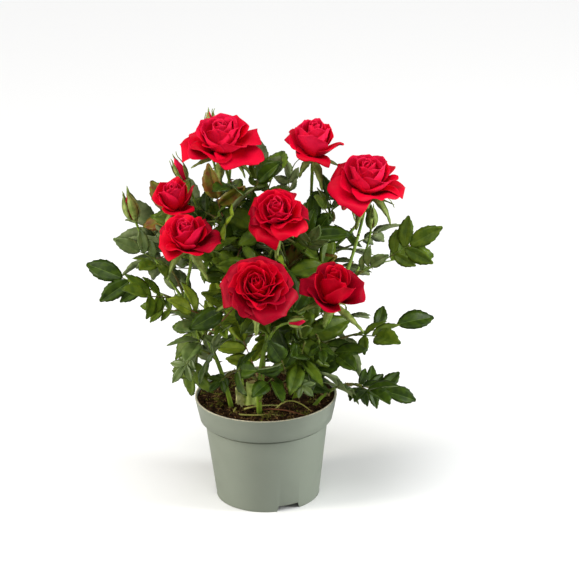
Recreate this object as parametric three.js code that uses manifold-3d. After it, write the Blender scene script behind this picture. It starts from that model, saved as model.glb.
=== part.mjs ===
// A miniature rose bush in its plastic pot, as sold for a window sill or a patio table.
// Canes rise from the compost and fork into flower stems, each with its bloom or bud, and
// side shoots carry the foliage in masses. Every size is in millimetres: +X is to the right,
// -Y to the front and +Z up, and the origin is the middle of the foot that the pot stands on.
import * as THREE from "three";
import { mergeVertices } from "three/addons/utils/BufferGeometryUtils.js";
import Module from "manifold-3d";

const wasm = await Module();
wasm.setup();

const vec = (x, y, z) => new THREE.Vector3(x, y, z);
const rad = THREE.MathUtils.degToRad;
const mix = THREE.MathUtils.lerp;
const UP = vec(0, 0, 1);

// What touching pieces keep clear, and how far the flats of a round wall lie inside its circle.
const CLEARANCE = 0.35;
const FACET_SAG = 0.3;

// The pot: a tapered body, a wider band below the lip, and a foot ring with three notches.
const POT = {
  height: 90.2,
  footRadius: 43.9,
  shoulderRadius: 52.1,
  shoulderHeight: 69,
  bandRadius: 56,
  lipRadius: 60,
  wall: 1.7,
  floor: 6,
  facets: 32,
  notch: { count: 3, first: 23.4, width: 20.5, topWidth: 17.5, height: 5, depth: 12 },
  drain: { radius: 4, fromAxis: 29 },
};

// The compost: a low dome that ends just under the lip.
const COMPOST = { crown: 88, drop: 2.6, edgeRadius: 56.3, facets: 24, rings: 3, lump: 1.1 };

// Canes: [name, foot x, foot y, tip, how far the middle bows out, root radius, tip radius].
const CANES = [
  ["cane_left", -28, -20, [-63, -34, 186], [4, 0, 4], 2.5, 1.7],
  ["cane_front", -5, -36, [2, -48, 157], [-3, 3, 0], 2.9, 2.2],
  ["cane_middle", -6, -6, [-3, -4, 206], [4, 3, 0], 2.7, 1.8],
  ["cane_right", 23, -6, [52, -22, 160], [-2, 4, 2], 2.6, 1.9],
  ["cane_right_low", 37, -23, [62, -24, 106], [-3, 0, 2], 1.9, 1.4],
  ["cane_back_left", -20, 20, [-44, 40, 196], [3, 2, 0], 2.6, 1.8],
  ["cane_back_right", 27, 26, [38, 30, 204], [-2, 3, 0], 2.6, 1.8],
];
const CANE = { sink: 5, flare: 0.7, sides: 7, steps: 5 };

// Old wood that was cut back: [name, x, y, height above the compost, radius, lean in x].
const STUBS = [
  ["cut_stub_left", -20.5, -15.5, 15, 3.7, -0.06],
  ["cut_stub_middle", -13, -18, 20, 3.9, 0.05],
];
const STUB = { taper: 0.94, sides: 9, steps: 2 };

// What the canes carry: radius at the root and at the tip, and the facets of the tube.
const FLOWER_STALK = { root: 1.6, tip: 1.35, sides: 5, steps: 5 };
const BUD_STALK = { root: 1.3, tip: 1.1, sides: 5, steps: 4 };
const TWIG = { root: 1.3, tip: 0.9, sides: 4, steps: 3 };

// Blooms: [name, centre, radius, lean from upright, azimuth of the lean, openness, cane, place].
// The azimuth is 0 towards the front and grows towards +X. Openness is 0 shut, 1 full.
const BLOOMS = [
  ["rose_top_left", [-32, 8, 312], 31, 26, -10, 1.0, "cane_middle", 1.0],
  ["rose_top_right", [44, 16, 307], 25, 14, 15, 0.8, "cane_back_right", 1.0],
  ["rose_right", [87, -2, 276], 31, 36, 2, 1.0, "cane_right", 1.0],
  ["rose_left_small", [-71, -10, 270], 19.5, 20, -20, 0.34, "cane_back_left", 0.86],
  ["rose_left", [-60.5, -46, 245], 26, 36, -18, 0.88, "cane_left", 1.0],
  ["rose_middle", [13, -40, 263.5], 25.5, 50, -8, 0.95, "cane_middle", 0.84],
  ["rose_front", [-3.5, -80, 214], 32, 60, -3, 1.0, "cane_front", 1.0],
  ["rose_right_low", [57, -62, 207], 26, 34, 5, 0.62, "cane_right", 0.8],
  ["rose_back_left", [-60, 80, 201], 24, 44, 150, 0.95, "cane_back_left", 1.0],
  ["rose_back_right", [82, 60, 250], 22, 48, -160, 1.0, "cane_back_right", 0.82],
  ["rose_back_middle", [-26, 60, 286], 20, 30, 180, 0.5, "cane_back_left", 0.93],
];

// The petals of a bloom from under the outer whorl to the closed heart. Each ring is given as
// shares of the bloom's radius, [out, up], when it is shut and when it is full, with the share of
// a petal that the ring is turned by and how deep the notch between two petals is.
const PETALS = 5;
const PETAL_RINGS = [
  { shut: [0.5, 0.1], full: [0.6, -0.02], turn: 0, notch: 0 },
  { shut: [0.92, 0.66], full: [1, 0.06], turn: 0, notch: 0.13 },
  { shut: [0.62, 0.5], full: [0.66, 0.16], turn: 0.25, notch: 0 },
  { shut: [0.64, 0.9], full: [0.8, 0.42], turn: 0.5, notch: 0.12 },
  { shut: [0.42, 0.76], full: [0.5, 0.34], turn: 0.25, notch: 0 },
  { shut: [0.4, 1.04], full: [0.52, 0.6], turn: 0, notch: 0.12 },
  { shut: [0.24, 0.94], full: [0.3, 0.5], turn: 0, notch: 0 },
];
const HEART_TOP = { shut: 1.14, full: 0.7 };
const BLOOM_SINK = 0.3;
const CALYX = { hip: 0.26, hipRadius: 0.14, sepal: 0.62, droop: 48, fromAxis: 0.08, sepalThick: 1 };

// Buds: [name, middle of the bud, length, radius, lean, azimuth, cane, place].
const BUDS = [
  ["bud_left", [-107, -6, 262], 22, 6.4, 14, -80, "cane_left", 0.9],
  ["bud_left_high", [-67, 14, 287], 21, 5.4, 24, -80, "cane_back_left", 0.78],
  ["bud_front", [28, -74, 184], 14, 4.6, 78, 70, "cane_front", 0.86],
  ["bud_right", [91, 18, 240], 18, 4.8, 8, 20, "cane_right", 0.9],
  ["bud_top", [-42, 46, 318], 15, 4.2, 12, 170, "cane_middle", 0.92],
];

// Foliage: [name, limb, place on it, end of the shoot, furthest leaf tip, leaves, leaf size, seed].
const SHOOTS = [
  ["leaves_left_far", "cane_left", 0.97, [-84, -28, 193], [-141, -8, 211], 9, 0.95, 9],
  ["leaves_left_upper", "cane_left", 0.93, [-80, -16, 214], [-118, -20, 237], 9, 0.85, 75],
  ["leaves_left_low", "cane_left", 0.45, [-56, -30, 142], [-75, -34, 118], 9, 0.9, 54],
  ["leaves_left_inner", "cane_left", 0.68, [-36, -48, 176], [-30, -74, 172], 9, 1.0, 33],
  ["leaves_right_far", "rose_right", 0.3, [96, -6, 208], [144, -12, 238], 9, 0.95, 51],
  ["leaves_right_mid", "cane_right", 0.62, [78, -8, 146], [138, 12, 151], 9, 0.95, 8],
  ["leaves_right_low", "cane_right_low", 1.0, [74, -26, 108], [122, -22, 92], 9, 0.9, 56],
  ["leaves_right_inner", "cane_right", 0.72, [44, -46, 158], [48, -72, 148], 9, 1.0, 19],
  ["leaves_right_upper", "rose_right", 0.12, [76, -22, 204], [100, -40, 226], 9, 0.9, 43],
  ["leaves_front_left", "cane_front", 0.45, [-28, -58, 134], [-44, -74, 126], 9, 0.95, 20],
  ["leaves_front_right", "cane_front", 0.62, [24, -68, 132], [38, -84, 124], 9, 0.95, 21],
  ["leaves_middle", "cane_middle", 0.72, [-16, -20, 200], [-28, -38, 222], 9, 0.9, 55],
  ["leaves_middle_right", "cane_middle", 0.8, [34, -16, 222], [46, -34, 250], 9, 0.9, 22],
  ["leaves_upper_left", "rose_top_left", 0.3, [-36, -8, 250], [-34, -34, 262], 9, 0.95, 35],
  ["leaves_top", "rose_top_left", 0.38, [-8, 16, 262], [4, 14, 292], 9, 0.95, 57],
  ["leaves_upper_right", "rose_top_right", 0.35, [60, 16, 240], [52, 32, 270], 9, 0.85, 85],
  ["leaves_back_top", "rose_top_right", 0.3, [24, 46, 246], [20, 66, 274], 5, 1.0, 20],
  ["leaves_back_left_high", "cane_back_left", 0.9, [-72, 48, 212], [-112, 62, 226], 5, 0.95, 35],
  ["leaves_back_left_low", "cane_back_left", 0.45, [-60, 56, 138], [-84, 86, 130], 5, 0.95, 43],
  ["leaves_back_middle", "cane_back_left", 0.66, [-18, 66, 178], [-10, 100, 176], 5, 0.95, 58],
  ["leaves_back_right_high", "cane_back_right", 0.88, [76, 44, 206], [116, 62, 216], 5, 0.95, 8],
  ["leaves_back_right_low", "cane_back_right", 0.42, [58, 58, 134], [88, 86, 122], 5, 0.95, 18],
  ["leaves_back_low", "cane_back_right", 0.3, [4, 56, 122], [-6, 92, 114], 5, 0.9, 12],
  ["leaves_left_back", "cane_back_left", 0.6, [-70, 14, 160], [-102, 24, 162], 5, 0.9, 57],
];

// One rose leaf: a stalk with two pairs of leaflets and one at the end, at size 1.
const LEAF = {
  stalk: 36,
  stalkRadius: 0.75,
  leaflet: 30,
  width: 0.56,
  widest: 0.44,
  fold: 0.16,
  hang: 0.14,
  thick: 0.9,
  endSink: 1.2,
  room: 0.35,
  pairs: [
    [0.46, 0.66],
    [0.8, 0.86],
  ],
  spread: 56,
};

// How leaves stand along a shoot: first and last place on it, the turn from one to the next,
// and how far they lean towards the shoot's tip.
const SPIRAL = { first: 0.3, last: 0.97, turn: 137.5, lean: 0.45 };

// Gaps in the foliage as seen from the front and 21 degrees above: right and left below the outer
// leaves, beside the top right stem, beside the pot and over the compost. The height is where the sight line passes y = 0, and only what
// stands in front of y = behind counts.
const SIGHT_SLOPE = 0.386;
const OPEN_SKY = [
  { x: [88, 160], height: [167, 197], behind: 200 },
  { x: [84, 160], height: [114, 132], behind: 200 },
  { x: [-160, -78], height: [30, 152], behind: 200 },
  { x: [30, 42], height: [262, 290], behind: 200 },
  { x: [58, 160], height: [30, 78], behind: 60 },
  { x: [-60, 60], height: [30, 87], behind: 0 },
];

// The room that leaves keep: to the next mass's space, round a leaf stalk and a leaflet, to the
// pot's lip, and round blooms and buds as shares of their radius and length.
const ROOM = {
  nextMass: 0.8,
  stalk: 1.6,
  leaflet: 2.4,
  pot: { radius: POT.lipRadius + 3, top: POT.height + 2, below: 84 },
  petals: { from: -0.3, to: 0.95, out: 1.12 },
  calyx: { from: -0.75, to: 0, out: 0.62 },
  bud: 0.95,
};

const COLOURS = {
  pot: 0x7d8a7c,
  compost: 0x2b1a10,
  stem: 0x5f8a2e,
  stub: 0xa9b37a,
  petal: 0xc40820,
  bud: 0x6f8f35,
  leaf: 0x2f5a22,
};

// A repeatable stream of numbers from 0 to 1, one for each seed.
function seeded(seed) {
  let state = (seed * 2654435761) >>> 0;
  return () => {
    state = (Math.imul(state, 1664525) + 1013904223) >>> 0;
    return state / 4294967296;
  };
}

// A closed three.js geometry as a solid that can be joined and cut.
function solidOf(geometry) {
  const bare = geometry.index ? geometry.toNonIndexed() : geometry.clone();
  for (const name of Object.keys(bare.attributes)) {
    if (name !== "position") bare.deleteAttribute(name);
  }
  const merged = mergeVertices(bare, 1e-4);
  const corners = [];
  for (let i = 0; i < merged.index.count; i += 3) {
    const [a, b, c] = [0, 1, 2].map((k) => merged.index.getX(i + k));
    if (a !== b && b !== c && c !== a) corners.push(a, b, c);
  }
  return new wasm.Manifold(
    new wasm.Mesh({
      numProp: 3,
      vertProperties: merged.attributes.position.array,
      triVerts: new Uint32Array(corners),
    }),
  );
}

function geometryOf(solid) {
  const mesh = solid.getMesh();
  const places = new Float32Array(mesh.numVert * 3);
  for (let i = 0; i < mesh.numVert; i++) {
    places.set(mesh.vertProperties.subarray(i * mesh.numProp, i * mesh.numProp + 3), i * 3);
  }
  const geometry = new THREE.BufferGeometry();
  geometry.setAttribute("position", new THREE.BufferAttribute(places, 3));
  geometry.setIndex(new THREE.BufferAttribute(new Uint32Array(mesh.triVerts), 1));
  geometry.computeVertexNormals();
  return geometry;
}

// Moves each vertex of a geometry to where the given function puts it.
function shaped(geometry, move) {
  const place = geometry.getAttribute("position");
  const v = vec(0, 0, 0);
  for (let i = 0; i < place.count; i++) {
    v.fromBufferAttribute(place, i);
    const moved = move(v);
    place.setXYZ(i, moved.x, moved.y, moved.z);
  }
  return geometry;
}

function largestBody(solid) {
  const bodies = solid.decompose();
  bodies.sort((a, b) => b.volume() - a.volume());
  return bodies[0];
}

// A direction that leans from upright towards an azimuth, 0 to the front and 90 to +X.
function leaning(tilt, azimuth) {
  const [t, a] = [rad(tilt), rad(azimuth)];
  return vec(Math.sin(t) * Math.sin(a), -Math.sin(t) * Math.cos(a), Math.cos(t));
}

// The compost's height at a place.
function compostHeight(x, y) {
  const out = Math.min(1, Math.hypot(x, y) / COMPOST.edgeRadius);
  const lumps = Math.sin(0.21 * x + 1.3) * Math.cos(0.17 * y + 0.5) + 0.7 * Math.sin(0.43 * x - 0.31 * y);
  return COMPOST.crown - COMPOST.drop * out ** 2 + COMPOST.lump * lumps * (1 - out ** 4);
}

// Limbs: every cane, flower stem and shoot, with the curve that it follows
const limbs = new Map();

function radiusAt(limb, t) {
  const along = mix(limb.root, limb.tip, t);
  return along + limb.flare * Math.exp((-t * limb.length) / 5);
}

// A tapered tube along a limb's curve, swollen by grow on every side.
function limbSolid(limb, grow = 0) {
  const { curve, sides, steps } = limb;
  const chord = curve.getPoint(1).sub(curve.getPoint(0)).normalize();
  const reference = Math.abs(chord.x) < 0.8 ? vec(1, 0, 0) : vec(0, 1, 0);
  return solidOf(
    shaped(new THREE.CylinderGeometry(1, 1, 1, sides, steps), (v) => {
      const t = Math.round((v.y + 0.5) * steps) / steps;
      const tangent = curve.getTangent(t);
      const across = tangent.clone().cross(reference).normalize();
      const other = tangent.clone().cross(across);
      const r = radiusAt(limb, t) + grow;
      const past = t === 0 ? -grow : t === 1 ? grow : 0;
      return curve
        .getPoint(t)
        .addScaledVector(across, v.x * r)
        .addScaledVector(other, -v.z * r)
        .addScaledVector(tangent, past);
    }),
  );
}

function limbAlong(curve, root, tip, sides, steps, flare = 0) {
  return { curve, root, tip, sides, steps, flare, length: curve.getLength() };
}

function addLimb(name, curve, root, tip, sides, steps, flare = 0) {
  const limb = limbAlong(curve, root, tip, sides, steps, flare);
  limb.samples = [];
  const count = Math.ceil(limb.length / 4);
  for (let i = 0; i <= count; i++) {
    limb.samples.push([curve.getPoint(i / count), radiusAt(limb, i / count)]);
  }
  limb.keepOut = limbSolid(limb, CLEARANCE);
  limbs.set(name, limb);
}

function addBranch(name, curve, { root, tip, sides, steps }) {
  addLimb(name, curve, root, tip, sides, steps);
}

// A curve that leaves a limb at a place on it and arrives at an end in a given direction.
function branchCurve(limbName, place, end, arrive, easeOut = 0.3, easeIn = 0.35) {
  const parent = limbs.get(limbName).curve;
  const start = parent.getPoint(place);
  const span = start.distanceTo(end);
  const leave = parent.getTangent(place).lerp(end.clone().sub(start).normalize(), 0.5);
  return new THREE.CubicBezierCurve3(
    start,
    start.clone().addScaledVector(leave, span * easeOut),
    end.clone().addScaledVector(arrive, -span * easeIn),
    end,
  );
}

// A limb's own solid, cut clear of the limbs that were placed before it.
function ownLimb(ownName) {
  let left = limbSolid(limbs.get(ownName));
  for (const [name, limb] of limbs) {
    if (name === ownName) break;
    left = left.subtract(limb.keepOut);
  }
  return largestBody(left);
}

function potSolid() {
  const { height, footRadius, shoulderRadius, shoulderHeight, bandRadius, lipRadius, wall, floor } = POT;
  const profile = [
    [0, floor],
    [footRadius - wall - 0.2, floor],
    [footRadius - wall, 0],
    [footRadius, 0],
    [shoulderRadius, shoulderHeight],
    [bandRadius, shoulderHeight + 1.2],
    [lipRadius, height - 2],
    [lipRadius, height],
    [lipRadius - wall, height],
    [bandRadius - wall, shoulderHeight + 2],
    [shoulderRadius - wall, shoulderHeight - 1],
    [footRadius - wall + 0.3, floor + wall],
    [0, floor + wall],
  ].map(([r, z]) => new THREE.Vector2(r, z));
  let pot = solidOf(new THREE.LatheGeometry(profile, POT.facets).rotateX(Math.PI / 2));
  const { count, first, width, topWidth, height: rise, depth } = POT.notch;
  const outline = new THREE.Shape();
  outline.moveTo(-width / 2 - 0.3, -1);
  outline.lineTo(width / 2 + 0.3, -1);
  outline.lineTo(topWidth / 2, rise);
  outline.lineTo(-topWidth / 2, rise);
  for (let i = 0; i < count; i++) {
    const turn = rad(first + (360 / count) * i);
    const notch = new THREE.ExtrudeGeometry(outline, { depth, bevelEnabled: false });
    notch.rotateX(Math.PI / 2).translate(0, depth / 2 - footRadius, 0).rotateZ(turn);
    pot = pot.subtract(solidOf(notch));
    const drain = new THREE.CylinderGeometry(POT.drain.radius, POT.drain.radius, 4 * wall, 12);
    drain.rotateX(Math.PI / 2).translate(0, -POT.drain.fromAxis, floor + wall / 2).rotateZ(turn);
    pot = pot.subtract(solidOf(drain));
  }
  return pot;
}

function compostSolid() {
  const { edgeRadius, rings, facets } = COMPOST;
  const inner = POT.wall + CLEARANCE + FACET_SAG;
  const profile = [
    [0, POT.floor + inner],
    [POT.footRadius - inner, POT.floor + inner],
    [POT.shoulderRadius - inner, POT.shoulderHeight - 1.2],
    [POT.bandRadius - inner, POT.shoulderHeight + 2],
  ];
  for (let i = rings; i >= 0; i--) profile.push([(edgeRadius * i) / rings, POT.height]);
  const body = new THREE.LatheGeometry(profile.map(([r, z]) => new THREE.Vector2(r, z)), facets);
  body.rotateX(Math.PI / 2);
  const top = POT.height - 0.01;
  shaped(body, (v) => (v.z < top ? v.clone() : vec(v.x, v.y, compostHeight(v.x, v.y))));
  let compost = solidOf(body);
  for (const limb of limbs.values()) compost = compost.subtract(limb.keepOut);
  return compost;
}

// All petals of a bloom as one surface, whorl inside whorl, upright with its foot at the origin.
function petalsSolid(radius, open) {
  const profile = [new THREE.Vector2(0, 0)];
  PETAL_RINGS.forEach((ring, i) => profile.push(new THREE.Vector2(1, i + 1)));
  profile.push(new THREE.Vector2(0, PETAL_RINGS.length + 1));
  const lathe = new THREE.LatheGeometry(profile, PETALS * 3).rotateX(Math.PI / 2);
  return solidOf(
    shaped(lathe, (v) => {
      const level = Math.round(v.z);
      if (level === 0) return vec(0, 0, 0);
      if (level > PETAL_RINGS.length) return vec(0, 0, radius * mix(HEART_TOP.shut, HEART_TOP.full, open));
      const { shut, full, turn, notch } = PETAL_RINGS[level - 1];
      const angle = Math.atan2(v.y, v.x);
      const phase = (angle * PETALS) / (2 * Math.PI) + turn + 1e-6;
      const fromMiddle = Math.abs(2 * (phase - Math.floor(phase)) - 1);
      const notched = 1 - notch * fromMiddle ** 2;
      const out = radius * mix(shut[0], full[0], open) * notched;
      const up = radius * mix(shut[1], full[1], open) * notched;
      return vec(Math.cos(angle) * out, Math.sin(angle) * out, up);
    }),
  );
}

// A solid that was made upright round the origin, turned to an axis and moved to its foot.
function standing(solid, axis, foot) {
  const turn = new THREE.Quaternion().setFromUnitVectors(UP, axis);
  return solid.transform(new THREE.Matrix4().compose(foot, turn, vec(1, 1, 1)).elements);
}

// Five narrow sepals that fold back under a bloom.
function sepalSolids(radius) {
  const length = CALYX.sepal * radius;
  const solids = [];
  for (let i = 0; i < PETALS; i++) {
    const blade = shaped(new THREE.OctahedronGeometry(1), (v) => {
      const along = v.x === 0 ? 0.35 : (v.x + 1) / 2;
      return vec(along * length, (v.y * length) / 9, (v.z * CALYX.sepalThick) / 2);
    });
    blade.rotateY(rad(CALYX.droop)).translate(CALYX.fromAxis * radius, 0, -0.5);
    blade.rotateZ(((i + 0.3) * 2 * Math.PI) / PETALS);
    solids.push(solidOf(blade));
  }
  return solids;
}

// The green hip that the petals stand on.
function hipSolid(radius) {
  const [wide, deep] = [CALYX.hipRadius * radius, CALYX.hip * radius];
  const profile = [
    [0, -deep],
    [wide * 0.6, -deep * 0.9],
    [wide, -deep * 0.4],
    [wide, 0.8],
    [0, 0.8],
  ].map(([r, z]) => new THREE.Vector2(r, z));
  return solidOf(new THREE.LatheGeometry(profile, 5).rotateX(Math.PI / 2));
}

function bloomFoot(bloom) {
  const [, centre, radius, tilt, azimuth] = bloom;
  return vec(...centre).addScaledVector(leaning(tilt, azimuth), -BLOOM_SINK * radius);
}

function bloomSolid(bloom) {
  const [name, , radius, tilt, azimuth, open] = bloom;
  const pieces = [petalsSolid(radius, open), hipSolid(radius), ...sepalSolids(radius)];
  const head = standing(wasm.Manifold.union(pieces), leaning(tilt, azimuth), bloomFoot(bloom));
  return head.add(ownLimb(name));
}

function budSolid(bud) {
  const [name, middle, length, radius, tilt, azimuth] = bud;
  const profile = [
    [0, -0.5],
    [0.62, -0.46],
    [0.8, -0.34],
    [1, -0.12],
    [0.82, 0.16],
    [0.4, 0.4],
    [0, 0.5],
  ].map(([r, z]) => new THREE.Vector2(r * radius, z * length));
  const petals = solidOf(new THREE.LatheGeometry(profile, 7).rotateX(Math.PI / 2));
  const head = standing(petals, leaning(tilt, azimuth), vec(...middle));
  return head.add(ownLimb(name));
}

// The heart of each mass of foliage, which keeps to what is nearer to its own heart than to others
const hearts = new Map();

function inOwnSpace(spot, own) {
  const mine = hearts.get(own);
  const near = spot.distanceToSquared(mine);
  for (const [name, other] of hearts) {
    if (name === own) continue;
    const past = (spot.distanceToSquared(other) - near) / (2 * mine.distanceTo(other));
    if (past < ROOM.nextMass) return false;
  }
  return true;
}

function clearOfLimbs(spot, own, margin) {
  for (const [name, limb] of limbs) {
    if (name === own) continue;
    for (const [centre, radius] of limb.samples) {
      if (spot.distanceTo(centre) < radius + margin) return false;
    }
  }
  return true;
}

function clearOfFlowers(spot) {
  for (const bloom of BLOOMS) {
    const [, , radius, tilt, azimuth] = bloom;
    const axis = leaning(tilt, azimuth);
    const from = spot.clone().sub(bloomFoot(bloom));
    const height = from.dot(axis);
    const out = Math.sqrt(Math.max(0, from.lengthSq() - height ** 2));
    for (const { from: low, to: high, out: wide } of [ROOM.petals, ROOM.calyx]) {
      if (height > low * radius && height < high * radius && out < wide * radius) return false;
    }
  }
  for (const [, middle, length] of BUDS) {
    if (spot.distanceTo(vec(...middle)) < ROOM.bud * length) return false;
  }
  return true;
}

function clearOfPot(spot) {
  const { radius, top, below } = ROOM.pot;
  return spot.z > top || (Math.hypot(spot.x, spot.y) > radius && spot.z > below);
}

function clearOfSky(spot) {
  const sight = spot.z + SIGHT_SLOPE * spot.y;
  return !OPEN_SKY.some(
    ({ x, height, behind }) =>
      spot.x > x[0] && spot.x < x[1] && sight > height[0] && sight < height[1] && spot.y < behind,
  );
}

function isFree(spot, own, margin) {
  return (
    clearOfPot(spot) &&
    clearOfSky(spot) &&
    inOwnSpace(spot, own) &&
    clearOfLimbs(spot, own, margin) &&
    clearOfFlowers(spot)
  );
}

// Where a leaflet's own coordinates lie in the plant: along it, across it and off its face.
function leafletSpot(leaflet, along, across, off) {
  return leaflet.foot
    .clone()
    .addScaledVector(leaflet.ahead, along)
    .addScaledVector(leaflet.aside, across)
    .addScaledVector(leaflet.face, off);
}

// How far a spot on a leaflet lies off its flat: its sides fold up and its tip hangs.
function leafletFold(leaflet, along, across) {
  return LEAF.fold * 2 * Math.abs(across) - LEAF.hang * Math.max(0, along - LEAF.widest * leaflet.length);
}

function leafletSolid(leaflet) {
  const { length, width } = leaflet;
  return solidOf(
    shaped(new THREE.OctahedronGeometry(1), (v) => {
      const along = v.x === 0 ? LEAF.widest * length : v.x > 0 ? length : 0;
      const across = (v.y * width) / 2;
      const off = (v.z * LEAF.thick) / 2 + leafletFold(leaflet, along, across);
      return leafletSpot(leaflet, along, across, off);
    }),
  );
}

// The leaflets of one leaf, and the curve of its stalk, from a foot, a direction and a face.
function leafPlan(foot, ahead, face, size, random) {
  const length = LEAF.stalk * size * mix(0.9, 1.1, random());
  const curve = new THREE.LineCurve3(foot, foot.clone().addScaledVector(ahead, length));
  const leaflets = [];
  const add = (place, turn, scale) => {
    const stalkAhead = curve.getTangent(place);
    const twist = mix(-0.28, 0.28, random());
    const sag = mix(-0.22, 0.1, random());
    const flat = stalkAhead.clone().applyAxisAngle(face, turn);
    const out = flat.addScaledVector(face, sag).normalize();
    const lean = face.clone().applyAxisAngle(stalkAhead, twist);
    const aside = lean.cross(out).normalize();
    const leafletLength = LEAF.leaflet * size * scale * mix(0.9, 1.1, random());
    leaflets.push({
      foot: curve.getPoint(place).addScaledVector(out, place === 1 ? -LEAF.endSink : 0),
      ahead: out,
      aside,
      face: out.clone().cross(aside).normalize(),
      length: leafletLength,
      width: leafletLength * LEAF.width * mix(0.92, 1.08, random()),
    });
  };
  for (const [place, scale] of LEAF.pairs) {
    for (const side of [-1, 1]) add(place, side * rad(LEAF.spread + mix(-8, 8, random())), scale);
  }
  add(1, rad(mix(-8, 8, random())), 1);
  return { curve, leaflets };
}

// The places on a leaflet that have to be free, as shares of its length and width.
const LEAFLET_PROBES = [
  [0.3, 0],
  [0.6, 0],
  [1, 0],
  [0.25, 0.3],
  [0.44, 0.5],
  [0.75, 0.24],
];

function leafletProbes(leaflet) {
  const spots = [];
  for (const [lengthShare, widthShare] of LEAFLET_PROBES) {
    for (const side of widthShare ? [-1, 1] : [1]) {
      const along = lengthShare * leaflet.length;
      const across = side * widthShare * leaflet.width;
      spots.push(leafletSpot(leaflet, along, across, leafletFold(leaflet, along, across)));
    }
  }
  return spots;
}

// Whether a leaflet has room beside the ones that its mass has already.
function hasRoom(leaflet, filled) {
  const middle = leafletSpot(leaflet, leaflet.length / 2, 0, 0);
  return filled.every(([spot, length]) => middle.distanceTo(spot) > LEAF.room * (leaflet.length + length));
}

// A leaf's stalk and leaflets as solids, without what has no room. A leaf keeps its last leaflet.
function leafSolids(plan, own, filled) {
  const stalkProbes = [0.25, 0.5, 0.75, 1].map((t) => plan.curve.getPoint(t));
  if (!stalkProbes.every((spot) => isFree(spot, own, ROOM.stalk))) return [];
  const fits = (leaflet) => leafletProbes(leaflet).every((spot) => isFree(spot, own, ROOM.leaflet));
  const kept = plan.leaflets.filter((leaflet) => hasRoom(leaflet, filled) && fits(leaflet));
  if (!kept.includes(plan.leaflets.at(-1)) || kept.length < 2) return [];
  for (const leaflet of kept) filled.push([leafletSpot(leaflet, leaflet.length / 2, 0, 0), leaflet.length]);
  const stalk = limbAlong(plan.curve, LEAF.stalkRadius, LEAF.stalkRadius * 0.8, 3, 1);
  return [limbSolid(stalk), ...kept.map(leafletSolid)];
}

// Which way a leaf's upper face looks: up, outwards, and to the front or the back.
function faceFor(spot, ahead) {
  const outward = vec(spot.x, spot.y, 0).normalize();
  const side = vec(0, spot.y > 24 ? 0.55 : -0.75, 0);
  const face = side.addScaledVector(outward, 0.3).addScaledVector(UP, 0.62);
  return face.addScaledVector(ahead, -face.dot(ahead)).normalize();
}

// The leaf at a shoot's end, aimed and sized so that its last leaflet ends at the furthest tip.
function leadLeaf(foot, reach) {
  const even = () => 0.5;
  const wanted = reach.clone().sub(foot);
  const ahead = wanted.clone().normalize();
  const face = faceFor(foot, ahead);
  const size = wanted.length() / (LEAF.stalk + LEAF.leaflet);
  const last = leafPlan(foot, ahead, face, size, even).leaflets.at(-1);
  const fold = leafletFold(last, last.length, 0);
  const found = leafletSpot(last, last.length, 0, fold).sub(foot);
  const mend = new THREE.Quaternion().setFromUnitVectors(found.clone().normalize(), ahead);
  const scale = wanted.length() / found.length();
  return leafPlan(foot, ahead.clone().applyQuaternion(mend), face.applyQuaternion(mend), size * scale, even);
}

// The leaves of a shoot: one at its end, and the others in a spiral up its side.
function shootLeaves(shoot) {
  const [name, , , end, reach, count, size, seed] = shoot;
  const random = seeded(seed);
  const curve = limbs.get(name).curve;
  const plans = [leadLeaf(vec(...end), vec(...reach))];
  const turnStart = random() * 2 * Math.PI;
  for (let i = 0; i < count; i++) {
    const place = mix(SPIRAL.first, SPIRAL.last, (i + 0.5) / count) + mix(-0.04, 0.04, random());
    const foot = curve.getPoint(place);
    const axis = curve.getTangent(place);
    const turn = turnStart + i * rad(SPIRAL.turn) + mix(-0.4, 0.4, random());
    const out = vec(1, 0, 0).cross(axis).normalize().applyAxisAngle(axis, turn);
    out.addScaledVector(axis, SPIRAL.lean).addScaledVector(UP, mix(-0.25, 0.3, random()));
    const ahead = out.normalize();
    const leafSize = size * mix(0.8, 1.12, random());
    plans.push(leafPlan(foot, ahead, faceFor(foot, ahead), leafSize, random));
  }
  return plans;
}

function massSolid(shoot) {
  const [name] = shoot;
  const filled = [];
  let leaves = wasm.Manifold.union(shootLeaves(shoot).flatMap((plan) => leafSolids(plan, name, filled)));
  for (const [other, limb] of limbs) {
    if (other !== name) leaves = leaves.subtract(limb.keepOut);
  }
  return largestBody(leaves.add(ownLimb(name)));
}

// Limbs first, because leaves keep clear of them all
for (const [name, x, y, tip, bow, root, end] of CANES) {
  const foot = vec(x, y, compostHeight(x, y) - CANE.sink);
  const top = vec(...tip);
  const middle = foot.clone().lerp(top, 0.5).add(vec(...bow).multiplyScalar(2));
  const curve = new THREE.QuadraticBezierCurve3(foot, middle, top);
  addLimb(name, curve, root, end, CANE.sides, CANE.steps, CANE.flare);
}
for (const [name, x, y, height, radius, lean] of STUBS) {
  const foot = vec(x, y, compostHeight(x, y) - CANE.sink);
  const top = vec(x + lean * height, y, foot.z + CANE.sink + height);
  addLimb(name, new THREE.LineCurve3(foot, top), radius, radius * STUB.taper, STUB.sides, STUB.steps);
}
for (const bloom of BLOOMS) {
  const [name, , radius, tilt, azimuth, , cane, place] = bloom;
  const axis = leaning(tilt, azimuth);
  const end = bloomFoot(bloom).addScaledVector(axis, -0.75 * CALYX.hip * radius);
  addBranch(name, branchCurve(cane, place, end, axis), FLOWER_STALK);
}
for (const [name, middle, length, , tilt, azimuth, cane, place] of BUDS) {
  const axis = leaning(tilt, azimuth);
  const end = vec(...middle).addScaledVector(axis, -0.46 * length);
  addBranch(name, branchCurve(cane, place, end, axis), BUD_STALK);
}
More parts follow.
